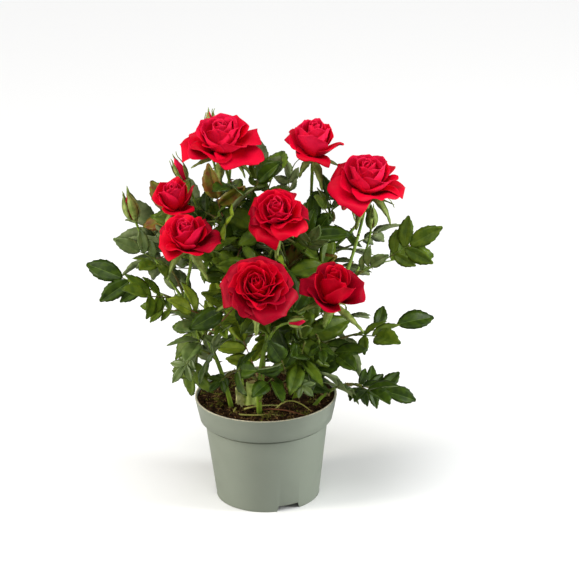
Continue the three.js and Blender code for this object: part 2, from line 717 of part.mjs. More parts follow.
for (const [name, limb, place, end, reach] of SHOOTS) {
  const tip = vec(...end);
  const arrive = vec(...reach).sub(tip).normalize();
  const limbCurve = branchCurve(limb, place, tip, arrive, 0.3, 0.25);
  addBranch(name, limbCurve, TWIG);
  hearts.set(name, limbCurve.getPoint(0.85).lerp(vec(...reach), 0.25));
}

const bush = new THREE.Group();

function add(name, solid, colour, roughness) {
  const material = new THREE.MeshStandardMaterial({ color: colour, roughness, metalness: 0 });
  const mesh = new THREE.Mesh(geometryOf(solid), material);
  mesh.name = name;
  bush.add(mesh);
}

add("pot", potSolid(), COLOURS.pot, 0.5);
add("compost", compostSolid(), COLOURS.compost, 1);
for (const [name] of CANES) add(name, ownLimb(name), COLOURS.stem, 0.6);
for (const [name] of STUBS) add(name, ownLimb(name), COLOURS.stub, 0.8);
for (const bloom of BLOOMS) add(bloom[0], bloomSolid(bloom), COLOURS.petal, 0.6);
for (const bud of BUDS) add(bud[0], budSolid(bud), COLOURS.bud, 0.6);
for (const shoot of SHOOTS) add(shoot[0], massSolid(shoot), COLOURS.leaf, 0.55);

export default bush;
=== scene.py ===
# A miniature rose bush in its plastic pot: blooms of rolled petals, saw-toothed leaflets that grow
# by the same seeded rule as the frame's masses, prickly canes, mossy compost and a moulded pot.
# Sizes of the plant are in millimetres, as in the frame's source, and MM turns them into metres.
import math
from collections import namedtuple

import bpy
import numpy as np
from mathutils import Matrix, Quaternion, Vector, noise


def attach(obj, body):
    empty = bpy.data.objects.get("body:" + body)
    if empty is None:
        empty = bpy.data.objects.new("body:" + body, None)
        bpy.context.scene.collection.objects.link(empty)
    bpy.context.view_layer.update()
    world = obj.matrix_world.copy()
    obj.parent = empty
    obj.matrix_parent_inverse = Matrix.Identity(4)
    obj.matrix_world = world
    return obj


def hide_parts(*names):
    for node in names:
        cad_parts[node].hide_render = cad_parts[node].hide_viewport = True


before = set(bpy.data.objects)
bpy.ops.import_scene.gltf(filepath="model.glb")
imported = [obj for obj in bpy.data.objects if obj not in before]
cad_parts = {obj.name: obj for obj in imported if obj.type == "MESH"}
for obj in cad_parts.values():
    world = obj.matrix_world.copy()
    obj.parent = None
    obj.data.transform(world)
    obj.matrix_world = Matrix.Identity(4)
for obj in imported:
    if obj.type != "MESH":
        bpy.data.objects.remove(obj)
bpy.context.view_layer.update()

MM = 0.001
TURN = 2 * math.pi
GOLDEN = math.radians(137.5)
UP = np.array([0.0, 0.0, 1.0])

# The pot and the compost, as in the frame
POT = {
    "height": 90.2,
    "foot": 43.9,
    "shoulder": 52.1,
    "shoulder_height": 69.0,
    "band": 56.0,
    "lip": 60.0,
    "wall": 1.7,
    "floor": 6.0,
}
NOTCH = {"count": 3, "first": 23.4, "width": 20.5, "top_width": 17.5, "height": 5.0}
DRAIN = {"radius": 4.0, "from_axis": 29.0}
COMPOST = {"crown": 88.0, "drop": 2.6, "edge": 56.3, "lump": 1.1}

# Canes: name, foot x, foot y, tip, how far the middle bows out, root radius, tip radius
CANES = [
    ("cane_left", -28, -20, (-63, -34, 186), (4, 0, 4), 2.5, 1.7),
    ("cane_front", -5, -36, (2, -48, 157), (-3, 3, 0), 2.9, 2.2),
    ("cane_middle", -6, -6, (-3, -4, 206), (4, 3, 0), 2.7, 1.8),
    ("cane_right", 23, -6, (52, -22, 160), (-2, 4, 2), 2.6, 1.9),
    ("cane_right_low", 37, -23, (62, -24, 106), (-3, 0, 2), 1.9, 1.4),
    ("cane_back_left", -20, 20, (-44, 40, 196), (3, 2, 0), 2.6, 1.8),
    ("cane_back_right", 27, 26, (38, 30, 204), (-2, 3, 0), 2.6, 1.8),
]
CANE_SINK = 5
CANE_FLARE = 0.7
# Radii of the thinner stems at their root and tip
BLOOM_STEM, BUD_STEM, SHOOT_STEM = (1.6, 1.35), (1.3, 1.1), (1.3, 0.9)

# Old wood that was cut back: name, x, y, height above the compost, radius, lean in x
STUBS = [
    ("cut_stub_left", -20.5, -15.5, 15, 3.7, -0.06),
    ("cut_stub_middle", -13, -18, 20, 3.9, 0.05),
]

# Blooms: how far they lean and which way, how open their inner and their outer petals are and where
# along the spiral they start to open, and where on which cane their stem begins
Bloom = namedtuple("Bloom", "name centre radius lean azimuth opening cane place petals seed")
BLOOMS = [Bloom(*row) for row in (
    ("rose_top_left", (-32, 8, 312), 31, 26, -10, (0.5, 0.95, 0.5), "cane_middle", 1.0, 24, 203),
    ("rose_top_right", (44, 16, 307), 25, 14, 15, (0.25, 0.62, 0.72), "cane_back_right", 1.0, 19, 41),
    ("rose_right", (87, -2, 276), 31, 36, 2, (0.3, 1.0, 0.55), "cane_right", 1.0, 24, 8),
    ("rose_left_small", (-71, -10, 270), 19.5, 20, -20, (0.0, 0.34, 0.86), "cane_back_left", 0.86, 17, 43),
    ("rose_left", (-60.5, -46, 245), 26, 36, -18, (0.3, 0.7, 0.62), "cane_left", 1.0, 21, 142),
    ("rose_middle", (13, -40, 263.5), 25.5, 50, -8, (0.7, 1.0, 0.3), "cane_middle", 0.84, 32, 147),
    ("rose_front", (-3.5, -80, 214), 32, 60, -3, (0.8, 1.0, 0.4), "cane_front", 1.0, 36, 19),
    ("rose_right_low", (57, -62, 207), 26, 34, 5, (0.05, 0.58, 0.5), "cane_right", 0.8, 13, 623),
    ("rose_back_left", (-60, 80, 201), 24, 44, 150, (0.6, 0.95, 0.5), "cane_back_left", 1.0, 25, 29),
    ("rose_back_right", (82, 60, 250), 22, 48, -160, (0.7, 1.0, 0.4), "cane_back_right", 0.82, 30, 31),
    ("rose_back_middle", (-26, 60, 286), 20, 30, 180, (0.1, 0.5, 0.7), "cane_back_left", 0.93, 18, 37),
)]
# How deep a bloom's foot lies below its centre, and how long its hip is, as shares of its radius
BLOOM_SINK, HIP = 0.3, 0.26
# Petals that stand more upright than their stalk's end, in degrees, cups that reach lower down the
# stalk and blooms that spread wider, as shares of the radius, and blooms that sit lower, in mm
MORE_UPRIGHT = {
    "rose_top_left": 13,
    "rose_right": 18,
    "rose_left": 12,
    "rose_middle": 14,
    "rose_front": 16,
    "rose_right_low": 8,
}
DEEPER_CUP = {"rose_top_right": 0.26, "rose_left_small": 0.16, "rose_middle": 0.2, "rose_right_low": 0.3}
WIDER = {"rose_top_left": 1.1, "rose_right_low": 1.06, "rose_front": 0.96}
LOWER = {"rose_top_left": 3, "rose_left_small": 3, "rose_middle": -3, "rose_right_low": 1, "rose_right": 2}
# Places in the list of petal finishes, and what each gives way to on blooms painted paler (painted light) and
# darker (painted shade)
HEART_HIGHLIGHT, MIDDLE, OUTER, BACK, BLUSH, PAINTED_SHADE = range(6)
PAINTED_LIT_TONES = (HEART_HIGHLIGHT, BLUSH, MIDDLE, BACK, HEART_HIGHLIGHT, OUTER)
BLOOM_TONES = {
    "rose_top_left": PAINTED_LIT_TONES,
    "rose_top_right": PAINTED_LIT_TONES,
    "rose_right": PAINTED_LIT_TONES,
    "rose_left_small": PAINTED_LIT_TONES,
    # The front bloom and the lower one on the right take darker finishes, painted shade
    "rose_front": (MIDDLE, OUTER, PAINTED_SHADE, BACK, MIDDLE, PAINTED_SHADE),
    "rose_right_low": (MIDDLE, OUTER, PAINTED_SHADE, BACK, OUTER, PAINTED_SHADE),
}

# Buds: the middle of each, and how red it shows. Past a redness their petals take the blush finish.
Bud = namedtuple("Bud", "name middle length radius lean azimuth cane place red")
BUDS = [Bud(*row) for row in (
    ("bud_left", (-107, -6, 262), 22, 6.4, 14, -80, "cane_left", 0.9, 0.4),
    ("bud_left_high", (-67, 14, 287), 21, 5.4, 24, -80, "cane_back_left", 0.78, 0.9),
    ("bud_front", (28, -74, 184), 14, 4.6, 78, 70, "cane_front", 0.86, 0.8),
    ("bud_right", (91, 18, 240), 18, 4.8, 8, 20, "cane_right", 0.9, 0.2),
    ("bud_top", (-42, 46, 318), 15, 4.2, 12, 170, "cane_middle", 0.92, 0.7),
)]
OPEN_BUD = 0.5
# How far a bud is turned round its stalk, in radians
BUD_TURN = {"bud_front": 0.63}

# Foliage: the limb that each shoot leaves and where, the shoot's end, its furthest leaf tip, its
# leaves, the share of young ones and its finer twigs. The outer shoots have few twigs: there the
# photo shows single leaves against the sky.
Shoot = namedtuple("Shoot", "name limb place end reach leaves size seed young twigs")
SHOOTS = [Shoot(*row) for row in (
    ("leaves_left_far", "cane_left", 0.97, (-84, -28, 193), (-141, -8, 211), 9, 0.95, 9, 0.0, 0),
    ("leaves_left_upper", "cane_left", 0.93, (-80, -16, 214), (-118, -20, 237), 9, 0.85, 75, 0.05, 2),
    ("leaves_left_low", "cane_left", 0.45, (-56, -30, 142), (-75, -34, 118), 9, 0.9, 54, 0.05, 2),
    ("leaves_left_inner", "cane_left", 0.68, (-36, -48, 176), (-30, -74, 172), 9, 1.0, 33, 0.1, 7),
    ("leaves_right_far", "rose_right", 0.3, (96, -6, 208), (144, -12, 238), 9, 0.95, 51, 0.02, 0),
    ("leaves_right_mid", "cane_right", 0.62, (78, -8, 146), (138, 12, 151), 9, 0.95, 8, 0.1, 1),
    ("leaves_right_low", "cane_right_low", 1.0, (74, -26, 108), (122, -22, 92), 9, 0.9, 56, 0.04, 0),
    ("leaves_right_inner", "cane_right", 0.72, (44, -46, 158), (48, -72, 148), 9, 1.0, 19, 0.25, 7),
    ("leaves_right_upper", "rose_right", 0.12, (76, -22, 204), (100, -40, 226), 9, 0.9, 43, 0.3, 4),
    ("leaves_front_left", "cane_front", 0.45, (-28, -58, 134), (-44, -74, 126), 9, 0.95, 20, 0.08, 6),
    ("leaves_front_right", "cane_front", 0.62, (24, -68, 132), (38, -84, 124), 9, 0.95, 21, 0.1, 6),
    ("leaves_middle", "cane_middle", 0.72, (-16, -20, 200), (-28, -38, 222), 9, 0.9, 55, 0.15, 11),
    ("leaves_middle_right", "cane_middle", 0.8, (34, -16, 222), (46, -34, 250), 9, 0.9, 22, 0.35, 12),
    ("leaves_upper_left", "rose_top_left", 0.3, (-36, -8, 250), (-34, -34, 262), 9, 0.95, 35, 0.2, 11),
    ("leaves_top", "rose_top_left", 0.38, (-8, 16, 262), (4, 14, 292), 9, 0.95, 57, 0.1, 4),
    ("leaves_upper_right", "rose_top_right", 0.35, (60, 16, 240), (52, 32, 270), 9, 0.85, 85, 0.3, 4),
    ("leaves_back_top", "rose_top_right", 0.3, (24, 46, 246), (20, 66, 274), 5, 1.0, 20, 0.1, 3),
    ("leaves_back_left_high", "cane_back_left", 0.9, (-72, 48, 212), (-112, 62, 226), 5, 0.95, 35, 0.1, 3),
    ("leaves_back_left_low", "cane_back_left", 0.45, (-60, 56, 138), (-84, 86, 130), 5, 0.95, 43, 0.1, 4),
    ("leaves_back_middle", "cane_back_left", 0.66, (-18, 66, 178), (-10, 100, 176), 5, 0.95, 58, 0.1, 10),
    ("leaves_back_right_high", "cane_back_right", 0.88, (76, 44, 206), (116, 62, 216), 5, 0.95, 8, 0.1, 3),
    ("leaves_back_right_low", "cane_back_right", 0.42, (58, 58, 134), (88, 86, 122), 5, 0.95, 18, 0.1, 3),
    ("leaves_back_low", "cane_back_right", 0.3, (4, 56, 122), (-6, 92, 114), 5, 0.9, 12, 0.1, 9),
    ("leaves_left_back", "cane_back_left", 0.6, (-70, 14, 160), (-102, 24, 162), 5, 0.9, 57, 0.1, 3),
)]

# One rose leaf at size 1, in mm and degrees, and how leaves stand along a shoot
LEAF = {
    "stalk": 36.0,
    "stalk_radius": 0.75,
    "leaflet": 30.0,
    "width": 0.56,
    "widest": 0.44,
    "fold": 0.16,
    "hang": 0.14,
    "end_sink": 1.2,
    "pairs": ((0.46, 0.66), (0.8, 0.86)),
    "spread": 56.0,
}
SPIRAL = {"first": 0.3, "last": 0.97, "lean": 0.45, "stray": 0.4}
# How a leaf's upper face looks: out, up, and to the front, or to the back past a certain y
FACES = {"outward": 0.3, "up": 0.62, "front": -0.75, "back": 0.55, "back_from": 24}

# The room that leaves keep in mm, where a leaf's stalk is tested, and how far its leaflets keep
# apart as a share of their lengths. Finer leaves are let in closer than a mass's own.
ROOM_OWN = {"stalk": 1.6, "leaflet": 2.4, "apart": 0.35, "tested": (0.25, 0.5, 0.75, 1)}
ROOM_FINER = {"stalk": 0.6, "leaflet": 0.8, "apart": 0.2, "tested": (0.3, 0.65, 1)}
ROOM_NEXT_MASS = 0.8
ROOM_POT = {"above": 2, "beside": 3, "lowest": 84}
# Cylinders round a bloom as shares of its radius (low, high, radius), and a ball as a bud's length
ROOM_PETALS = ((-0.3, 0.95, 1.12), (-0.75, 0.0, 0.62))
ROOM_BUD = 0.95
# Finer twigs: where they stand along a shoot, their length in mm, and where they are tested. Their
# leaves: how each leans, how large they are, and the share of them with all five leaflets
FINER = {
    "seed": 400,
    "places": (0.12, 0.97),
    "rise": (0.0, 0.4),
    "lean": 0.5,
    "length": (12.0, 30.0),
    "tested": (0.4, 0.7, 1),
    "leaf_places": (0.45, 1.0),
    "leaf_leans": (0.5, 0.5, 0.9),
    "leaf_rise": 0.1,
    "size": (0.86, 1.1),
    "full": 0.5,
}
# Leaves at the joints of canes, flower stems and buds' stems: how far apart they stand in mm
JOINTS = {"apart": 10.0, "rise": (-0.1, 0.3), "lean": 0.45, "size": (0.85, 1.12), "full": 0.7}
# Runs of them: the seed of the first limb, and the span along the limb
JOINTS_FRONT_CANE = (700, 0.42, 0.97)
JOINTS_BACK_CANE = (700, 0.16, 0.97)
JOINTS_CANE_FOOT = (760, 0.12, 0.55)
JOINTS_BLOOM = (720, 0.05, 0.72)
JOINTS_BUD = (740, 0.05, 0.6)
# How far finer leaves go, as a share of a mass's own reach: masses with so many twigs close up, and
# the others stay open. So near to the middle in x and y they go further, by so many mm.
REACH_INNER, REACH_OUTER, INNER_TWIGS = 1.15, 0.85, 5
AMONG_CANES, CANE_REACH = 45.0, 24.0
# How far they go from the middle of the plant in x and y
FINER_WITHIN = (132.0, 95.0)
# Gaps in the foliage as seen from the front and 21 degrees above: x, the height at which the sight
# line passes y = 0, and the y up to which they reach back
SIGHT_SLOPE = 0.386
OPEN_SKY = (
    ((88, 160), (167, 197), 200),
    ((84, 160), (114, 132), 200),
    ((-160, -78), (30, 152), 200),
    ((30, 42), (262, 290), 200),
    ((58, 160), (30, 78), 60),
    ((-60, 60), (30, 87), 0),
)
# Gaps for finer leaves alone: in front of three canes, and at the sides
FINER_GAPS = (
    ((-9, 4), (86, 134), -40),
    ((-40, -27), (86, 118), -18),
    ((56, 66), (126, 170), -26),
    ((-160, -86), (140, 186), 200),
    ((-160, -54), (88, 150), 200),
    ((92, 160), (196, 262), 200),
    ((80, 160), (70, 135), 200),
    ((-60, -50), (176, 200), 200),
)


# Numbers and directions

def seeded(seed):
    """A repeatable stream of numbers from 0 to 1, the same as the frame's source draws."""
    state = (seed * 2654435761) & 0xFFFFFFFF

    def draw():
        nonlocal state
        state = (state * 1664525 + 1013904223) & 0xFFFFFFFF
        return state / 4294967296

    return draw


def mix(a, b, t):
    return a + (b - a) * t


def smooth(low, high, x):
    t = np.clip((x - low) / (high - low), 0, 1)
    return t * t * (3 - 2 * t)


def vec(*numbers):
    return np.array(numbers, float)


def unit(v):
    return v / (np.linalg.norm(v) or 1.0)


def turned(v, axis, angle):
    """A direction turned about an axis."""
    c, s = math.cos(angle), math.sin(angle)
    return v * c + np.cross(axis, v) * s + axis * (axis @ v) * (1 - c)


def leaning(tilt, azimuth):
    """A direction that leans from upright towards an azimuth, 0 to the front and 90 to +X."""
    t, a = math.radians(tilt), math.radians(azimuth)
    return vec(math.sin(t) * math.sin(a), -math.sin(t) * math.cos(a), math.cos(t))


def compost_height(x, y):
    out = min(1.0, math.hypot(x, y) / COMPOST["edge"])
    lumps = math.sin(0.21 * x + 1.3) * math.cos(0.17 * y + 0.5) + 0.7 * math.sin(0.43 * x - 0.31 * y)
    return COMPOST["crown"] - COMPOST["drop"] * out**2 + COMPOST["lump"] * lumps * (1 - out**4)


class Curve:
    """A Bezier curve of two, three or four points."""

    def __init__(self, *points):
        self.points = [np.asarray(p, float) for p in points]

    def at(self, t):
        row = self.points
        while len(row) > 1:
            row = [mix(a, b, t) for a, b in zip(row, row[1:])]
        return row[0]

    def ahead(self, t):
        return unit(self.at(min(1.0, t + 1e-4)) - self.at(max(0.0, t - 1e-4)))

    def length(self):
        spots = np.array([self.at(t) for t in np.linspace(0, 1, 201)])
        return float(np.linalg.norm(np.diff(spots, axis=0), axis=1).sum())


# Limbs: canes, stubs, flower stems and shoots, worked out as in the frame's source. Each mass of
# foliage keeps to what is nearer to its own heart than to another's.
limbs, hearts = {}, {}


def add_limb(name, curve, root, tip, flare=0.0):
    length = curve.length()
    count = math.ceil(length / 4)
    spots = np.array([curve.at(i / count) for i in range(count + 1)])
    limb = {"curve": curve, "root": root, "tip": tip, "flare": flare, "length": length, "spots": spots}
    limb["radii"] = np.array([radius_at(limb, i / count) for i in range(count + 1)])
    limbs[name] = limb


def radius_at(limb, t):
    return mix(limb["root"], limb["tip"], t) + limb["flare"] * math.exp(-t * limb["length"] / 5)


def branch_curve(parent_name, place, end, arrive, ease_out=0.3, ease_in=0.35):
    """A curve that leaves a limb at a place on it and arrives at an end in a given direction."""
    parent = limbs[parent_name]["curve"]
    start = parent.at(place)
    span = np.linalg.norm(end - start)
    leave = mix(parent.ahead(place), unit(end - start), 0.5)
    return Curve(start, start + leave * span * ease_out, end - arrive * span * ease_in, end)


def bloom_foot(bloom):
    return vec(*bloom.centre) - leaning(bloom.lean, bloom.azimuth) * BLOOM_SINK * bloom.radius


def lay_out_limbs():
    for name, x, y, tip, bow, root, end in CANES:
        foot = vec(x, y, compost_height(x, y) - CANE_SINK)
        middle = mix(foot, vec(*tip), 0.5) + 2 * vec(*bow)
        add_limb(name, Curve(foot, middle, tip), root, end, CANE_FLARE)
    for name, x, y, height, radius, lean in STUBS:
        foot = vec(x, y, compost_height(x, y) - CANE_SINK)
        top = vec(x + lean * height, y, foot[2] + CANE_SINK + height)
        add_limb(name, Curve(foot, top), radius, radius * 0.94)
    for bloom in BLOOMS:
        axis = leaning(bloom.lean, bloom.azimuth)
        end = bloom_foot(bloom) - axis * 0.75 * HIP * bloom.radius
        add_limb(bloom.name, branch_curve(bloom.cane, bloom.place, end, axis), *BLOOM_STEM)
    for bud in BUDS:
        axis = leaning(bud.lean, bud.azimuth)
        end = vec(*bud.middle) - axis * 0.46 * bud.length
        add_limb(bud.name, branch_curve(bud.cane, bud.place, end, axis), *BUD_STEM)
    for shoot in SHOOTS:
        tip, reach = vec(*shoot.end), vec(*shoot.reach)
        curve = branch_curve(shoot.limb, shoot.place, tip, unit(reach - tip), 0.3, 0.25)
        add_limb(shoot.name, curve, *SHOOT_STEM)
        hearts[shoot.name] = mix(curve.at(0.85), reach, 0.25)


def in_own_space(spots, own):
    mine = hearts[own]
    near = ((spots - mine) ** 2).sum(1)
    for name, other in hearts.items():
        if name == own:
            continue
        past = (((spots - other) ** 2).sum(1) - near) / (2 * np.linalg.norm(mine - other))
        if (past < ROOM_NEXT_MASS).any():
            return False
    return True


def clear_of_limbs(spots, own, margin):
    for name, limb in limbs.items():
        if name == own:
            continue
        gap = np.linalg.norm(spots[:, None] - limb["spots"][None], axis=2) - limb["radii"][None]
        if (gap < margin).any():
            return False
    return True


def clear_of_flowers(spots):
    for bloom in BLOOMS:
        away = spots - bloom_foot(bloom)
        height = away @ leaning(bloom.lean, bloom.azimuth)
        out = np.sqrt(np.maximum(0, (away**2).sum(1) - height**2))
        for low, high, wide in ROOM_PETALS:
            level = (height > low * bloom.radius) & (height < high * bloom.radius)
            if (level & (out < wide * bloom.radius)).any():
                return False
    for bud in BUDS:
        if (np.linalg.norm(spots - vec(*bud.middle), axis=1) < ROOM_BUD * bud.length).any():
            return False
    return True


def clear_of_pot(spots):
    high = spots[:, 2] > POT["height"] + ROOM_POT["above"]
    out = np.hypot(spots[:, 0], spots[:, 1]) > POT["lip"] + ROOM_POT["beside"]
    return bool((high | (out & (spots[:, 2] > ROOM_POT["lowest"]))).all())


def clear_of_sky(spots, boxes=OPEN_SKY):
    """Whether spots keep out of boxes in the line of sight."""
    height = spots[:, 2] + SIGHT_SLOPE * spots[:, 1]
    for (left, right), (low, high), behind in boxes:
        inside = (spots[:, 0] > left) & (spots[:, 0] < right) & (spots[:, 1] < behind)
        if (inside & (height > low) & (height < high)).any():
            return False
    return True


def is_free(spots, own, margin):
    return (
        clear_of_pot(spots)
        and clear_of_sky(spots)
        and in_own_space(spots, own)
        and clear_of_flowers(spots)
        and clear_of_limbs(spots, own, margin)
    )


# Leaves by the rule of the frame's source

def leaflet_spot(leaflet, along, across, off):
    return leaflet["foot"] + leaflet["ahead"] * along + leaflet["aside"] * across + leaflet["face"] * off


def leaflet_fold(leaflet, along, across):
    hang = LEAF["hang"] * max(0.0, along - LEAF["widest"] * leaflet["length"])
    return LEAF["fold"] * 2 * abs(across) - hang


def leaf_plan(foot, ahead, face, size, draw, pairs=LEAF["pairs"]):
    """A leaf's stalk and its leaflets, from a foot, a direction and a face."""
    length = LEAF["stalk"] * size * mix(0.9, 1.1, draw())
    curve = Curve(foot, foot + ahead * length)
    leaflets = []

    def add(place, turn, scale):
        twist = mix(-0.28, 0.28, draw())
        sag = mix(-0.22, 0.1, draw())
        out = unit(turned(ahead, face, turn) + face * sag)
        lean = turned(face, ahead, twist)
        aside = unit(np.cross(lean, out))
        leaflet_length = LEAF["leaflet"] * size * scale * mix(0.9, 1.1, draw())
        leaflets.append({
            "foot": curve.at(place) - out * (LEAF["end_sink"] if place == 1 else 0),
            "ahead": out,
            "aside": aside,
            "face": unit(np.cross(out, aside)),
            "length": leaflet_length,
            "width": leaflet_length * LEAF["width"] * mix(0.92, 1.08, draw()),
        })

    for place, scale in pairs:
        for side in (-1, 1):
            add(place, side * math.radians(LEAF["spread"] + mix(-8, 8, draw())), scale)
    add(1, math.radians(mix(-8, 8, draw())), 1)
    return {"curve": curve, "leaflets": leaflets, "size": size, "face": face}


LEAFLET_PROBES = ((0.3, 0), (0.6, 0), (1, 0), (0.25, 0.3), (0.44, 0.5), (0.75, 0.24))


def leaflet_probes(leaflet):
    spots = []
    for length_share, width_share in LEAFLET_PROBES:
        for side in (-1, 1) if width_share else (1,):
            along = length_share * leaflet["length"]
            across = side * width_share * leaflet["width"]
            spots.append(leaflet_spot(leaflet, along, across, leaflet_fold(leaflet, along, across)))
    return np.array(spots)


def has_room(leaflet, filled, apart):
    middle = leaflet_spot(leaflet, leaflet["length"] / 2, 0, 0)
    return all(
        np.linalg.norm(middle - spot) > apart * (leaflet["length"] + length) for spot, length in filled
    )


def leaflet_middles(leaflets):
    return [(leaflet_spot(k, k["length"] / 2, 0, 0), k["length"]) for k in leaflets]


def kept_leaf(plan, limb, filled, is_clear, room):
    """A planned leaf without what has no room, in a list, or nothing. It keeps its last leaflet."""
    stalk = np.array([plan["curve"].at(t) for t in room["tested"]])
    if not is_clear(stalk, limb, room["stalk"]):
        return []
    kept = [
        leaflet
        for leaflet in plan["leaflets"]
        if has_room(leaflet, filled, room["apart"])
        and is_clear(leaflet_probes(leaflet), limb, room["leaflet"])
    ]
    if len(kept) < 2 or kept[-1] is not plan["leaflets"][-1]:
        return []
    filled += leaflet_middles(kept)
    return [{**plan, "leaflets": kept}]


def face_for(spot, ahead):
    """Which way a leaf's upper face looks: up, outwards, and to the front or the back."""
    outward = unit(vec(spot[0], spot[1], 0))
    side = vec(0, FACES["back"] if spot[1] > FACES["back_from"] else FACES["front"], 0)
    face = side + outward * FACES["outward"] + UP * FACES["up"]
    return unit(face - ahead * (face @ ahead))


def lead_leaf(foot, reach):
    """The leaf at a shoot's end, aimed and sized so that its last leaflet ends at the reach."""
    def even():
        return 0.5

    wanted = reach - foot
    ahead = unit(wanted)
    face = face_for(foot, ahead)
    size = np.linalg.norm(wanted) / (LEAF["stalk"] + LEAF["leaflet"])
    last = leaf_plan(foot, ahead, face, size, even)["leaflets"][-1]
    found = leaflet_spot(last, last["length"], 0, leaflet_fold(last, last["length"], 0)) - foot
    axis = np.cross(unit(found), ahead)
    angle = math.asin(min(1.0, np.linalg.norm(axis)))
    if angle > 1e-6:
        ahead, face = (turned(v, unit(axis), angle) for v in (ahead, face))
    return leaf_plan(foot, ahead, face, size * np.linalg.norm(wanted) / np.linalg.norm(found), even)


def leaf_beside(curve, place, turn, rise, lean):
    """Where a leaf or twig leaves a curve, and the way that it goes."""
    foot = curve.at(place)
    axis = curve.ahead(place)
    out = turned(unit(np.cross(vec(1, 0, 0), axis)), axis, turn)
    return foot, unit(out + axis * lean + UP * rise)


def spiral_turn(start, i, draw):
    return start + i * GOLDEN + mix(-SPIRAL["stray"], SPIRAL["stray"], draw())


def shoot_plans(shoot):
    draw = seeded(shoot.seed)
    curve = limbs[shoot.name]["curve"]
    plans = [lead_leaf(vec(*shoot.end), vec(*shoot.reach))]
    turn_start = draw() * TURN
    for i in range(shoot.leaves):
        share = (i + 0.5) / shoot.leaves
        place = mix(SPIRAL["first"], SPIRAL["last"], share) + mix(-0.04, 0.04, draw())
        turn = spiral_turn(turn_start, i, draw)
        foot, ahead = leaf_beside(curve, place, turn, mix(-0.25, 0.3, draw()), SPIRAL["lean"])
        size = shoot.size * mix(0.8, 1.12, draw())
        plans.append(leaf_plan(foot, ahead, face_for(foot, ahead), size, draw))
    return plans


def grow_own(shoot):
    """The leaves that the frame's own mass has."""
    filled, leaves = [], []
    for plan in shoot_plans(shoot):
        leaves += kept_leaf(plan, shoot.name, filled, is_free, ROOM_OWN)
    return leaves


def nearest_mass(spot):
    return min(hearts, key=lambda name: np.linalg.norm(hearts[name] - spot))


def fits(spots, limb, margin):
    """Whether spots are clear of pot, gaps, flowers and other limbs, and within a mass's reach."""
    name = nearest_mass(spots.mean(0))
    aside = np.abs(spots[:, :2])
    reach = reaches[name] + CANE_REACH * (aside < AMONG_CANES).all()
    return (
        (np.linalg.norm(spots - hearts[name], axis=1) <= reach).all()
        and (aside <= FINER_WITHIN).all()
        and clear_of_pot(spots)
        and clear_of_sky(spots, OPEN_SKY + FINER_GAPS)
        and clear_of_flowers(spots)
        and clear_of_limbs(spots, limb, margin)
    )


# Finer leaves and twigs of the same kind

def finer_plan(foot, ahead, scale, kind, draw):
    pairs = LEAF["pairs"] if draw() < kind["full"] else LEAF["pairs"][1:]
    size = scale * mix(*kind["size"], draw())
    return leaf_plan(foot, ahead, face_for(foot, ahead), size, draw, pairs)


def add_finer_leaf(plan, limb, filled):
    """Joins a leaf on a finer twig or a joint to the mass that it stands in."""
    foliage[nearest_mass(plan["curve"].at(1))] += kept_leaf(plan, limb, filled, fits, ROOM_FINER)


def grow_joint_leaves(name, seed, start, end, filled):
    limb = limbs[name]
    draw = seeded(seed)
    count = max(2, int(limb["length"] * (end - start) / JOINTS["apart"]))
    turn_start = draw() * TURN
    for i in range(count):
        place = mix(start, end, (i + 0.5) / count)
        turn = spiral_turn(turn_start, i, draw)
        foot, ahead = leaf_beside(limb["curve"], place, turn, mix(*JOINTS["rise"], draw()), JOINTS["lean"])
        add_finer_leaf(finer_plan(foot, ahead, 1, JOINTS, draw), name, filled)


def joint_runs():
    """The limb, seed and span of each run of leaves at joints. Front canes have fewer low down."""
    for k, (name, _, y, *_) in enumerate(CANES):
        behind = y > 0 or name == "cane_middle"
        for seed, start, end in (JOINTS_BACK_CANE if behind else JOINTS_FRONT_CANE, JOINTS_CANE_FOOT):
            yield name, seed + k, start, end
    for flowers, (seed, start, end) in ((BLOOMS, JOINTS_BLOOM), (BUDS, JOINTS_BUD)):
        for k, flower in enumerate(flowers):
            yield flower.name, seed + k, start, end


def grow_twigs(shoot, filled):
    """Finer twigs along a shoot, each with its own leaves."""
    draw = seeded(shoot.seed + FINER["seed"])
    curve = limbs[shoot.name]["curve"]
    turn_start = draw() * TURN
    for i in range(shoot.twigs):
        place = mix(*FINER["places"], (i + 0.5) / shoot.twigs) + mix(-0.05, 0.05, draw())
        turn = spiral_turn(turn_start, i, draw)
        foot, ahead = leaf_beside(curve, place, turn, mix(*FINER["rise"], draw()), FINER["lean"])
        length = mix(*FINER["length"], draw())
        end = foot + ahead * length
        twig = Curve(foot, mix(foot, end, 0.5) - UP * 0.08 * length, end + UP * 0.06 * length)
        fork = draw() * TURN
        plans = []
        for k, lean in enumerate(FINER["leaf_leans"]):
            place = mix(*FINER["leaf_places"], k / 2)
            foot, ahead = leaf_beside(twig, place, fork + k * GOLDEN, FINER["leaf_rise"], lean)
            plans.append(finer_plan(foot, ahead, shoot.size, FINER, draw))
        tested = np.array([twig.at(t) for t in FINER["tested"]])
        if not fits(tested, shoot.name, ROOM_FINER["stalk"]):
            continue
        before = len(filled)
        for plan in plans:
            add_finer_leaf(plan, shoot.name, filled)
        if len(filled) > before:
            twigs[shoot.name].append(twig)


foliage, twigs, reaches = {}, {}, {}


def grow_foliage():
    filled = []
    for shoot in SHOOTS:
        own = grow_own(shoot)
        leaflets = [leaflet for leaf in own for leaflet in leaf["leaflets"]]
        spots = np.concatenate([leaflet_probes(leaflet) for leaflet in leaflets])
        share = REACH_INNER if shoot.twigs >= INNER_TWIGS else REACH_OUTER
        reaches[shoot.name] = share * np.linalg.norm(spots - hearts[shoot.name], axis=1).max()
        foliage[shoot.name], twigs[shoot.name] = own, []
        filled += leaflet_middles(leaflets)
    for run in joint_runs():
        grow_joint_leaves(*run, filled)
    for shoot in SHOOTS:
        grow_twigs(shoot, filled)


# Meshes from many small forms

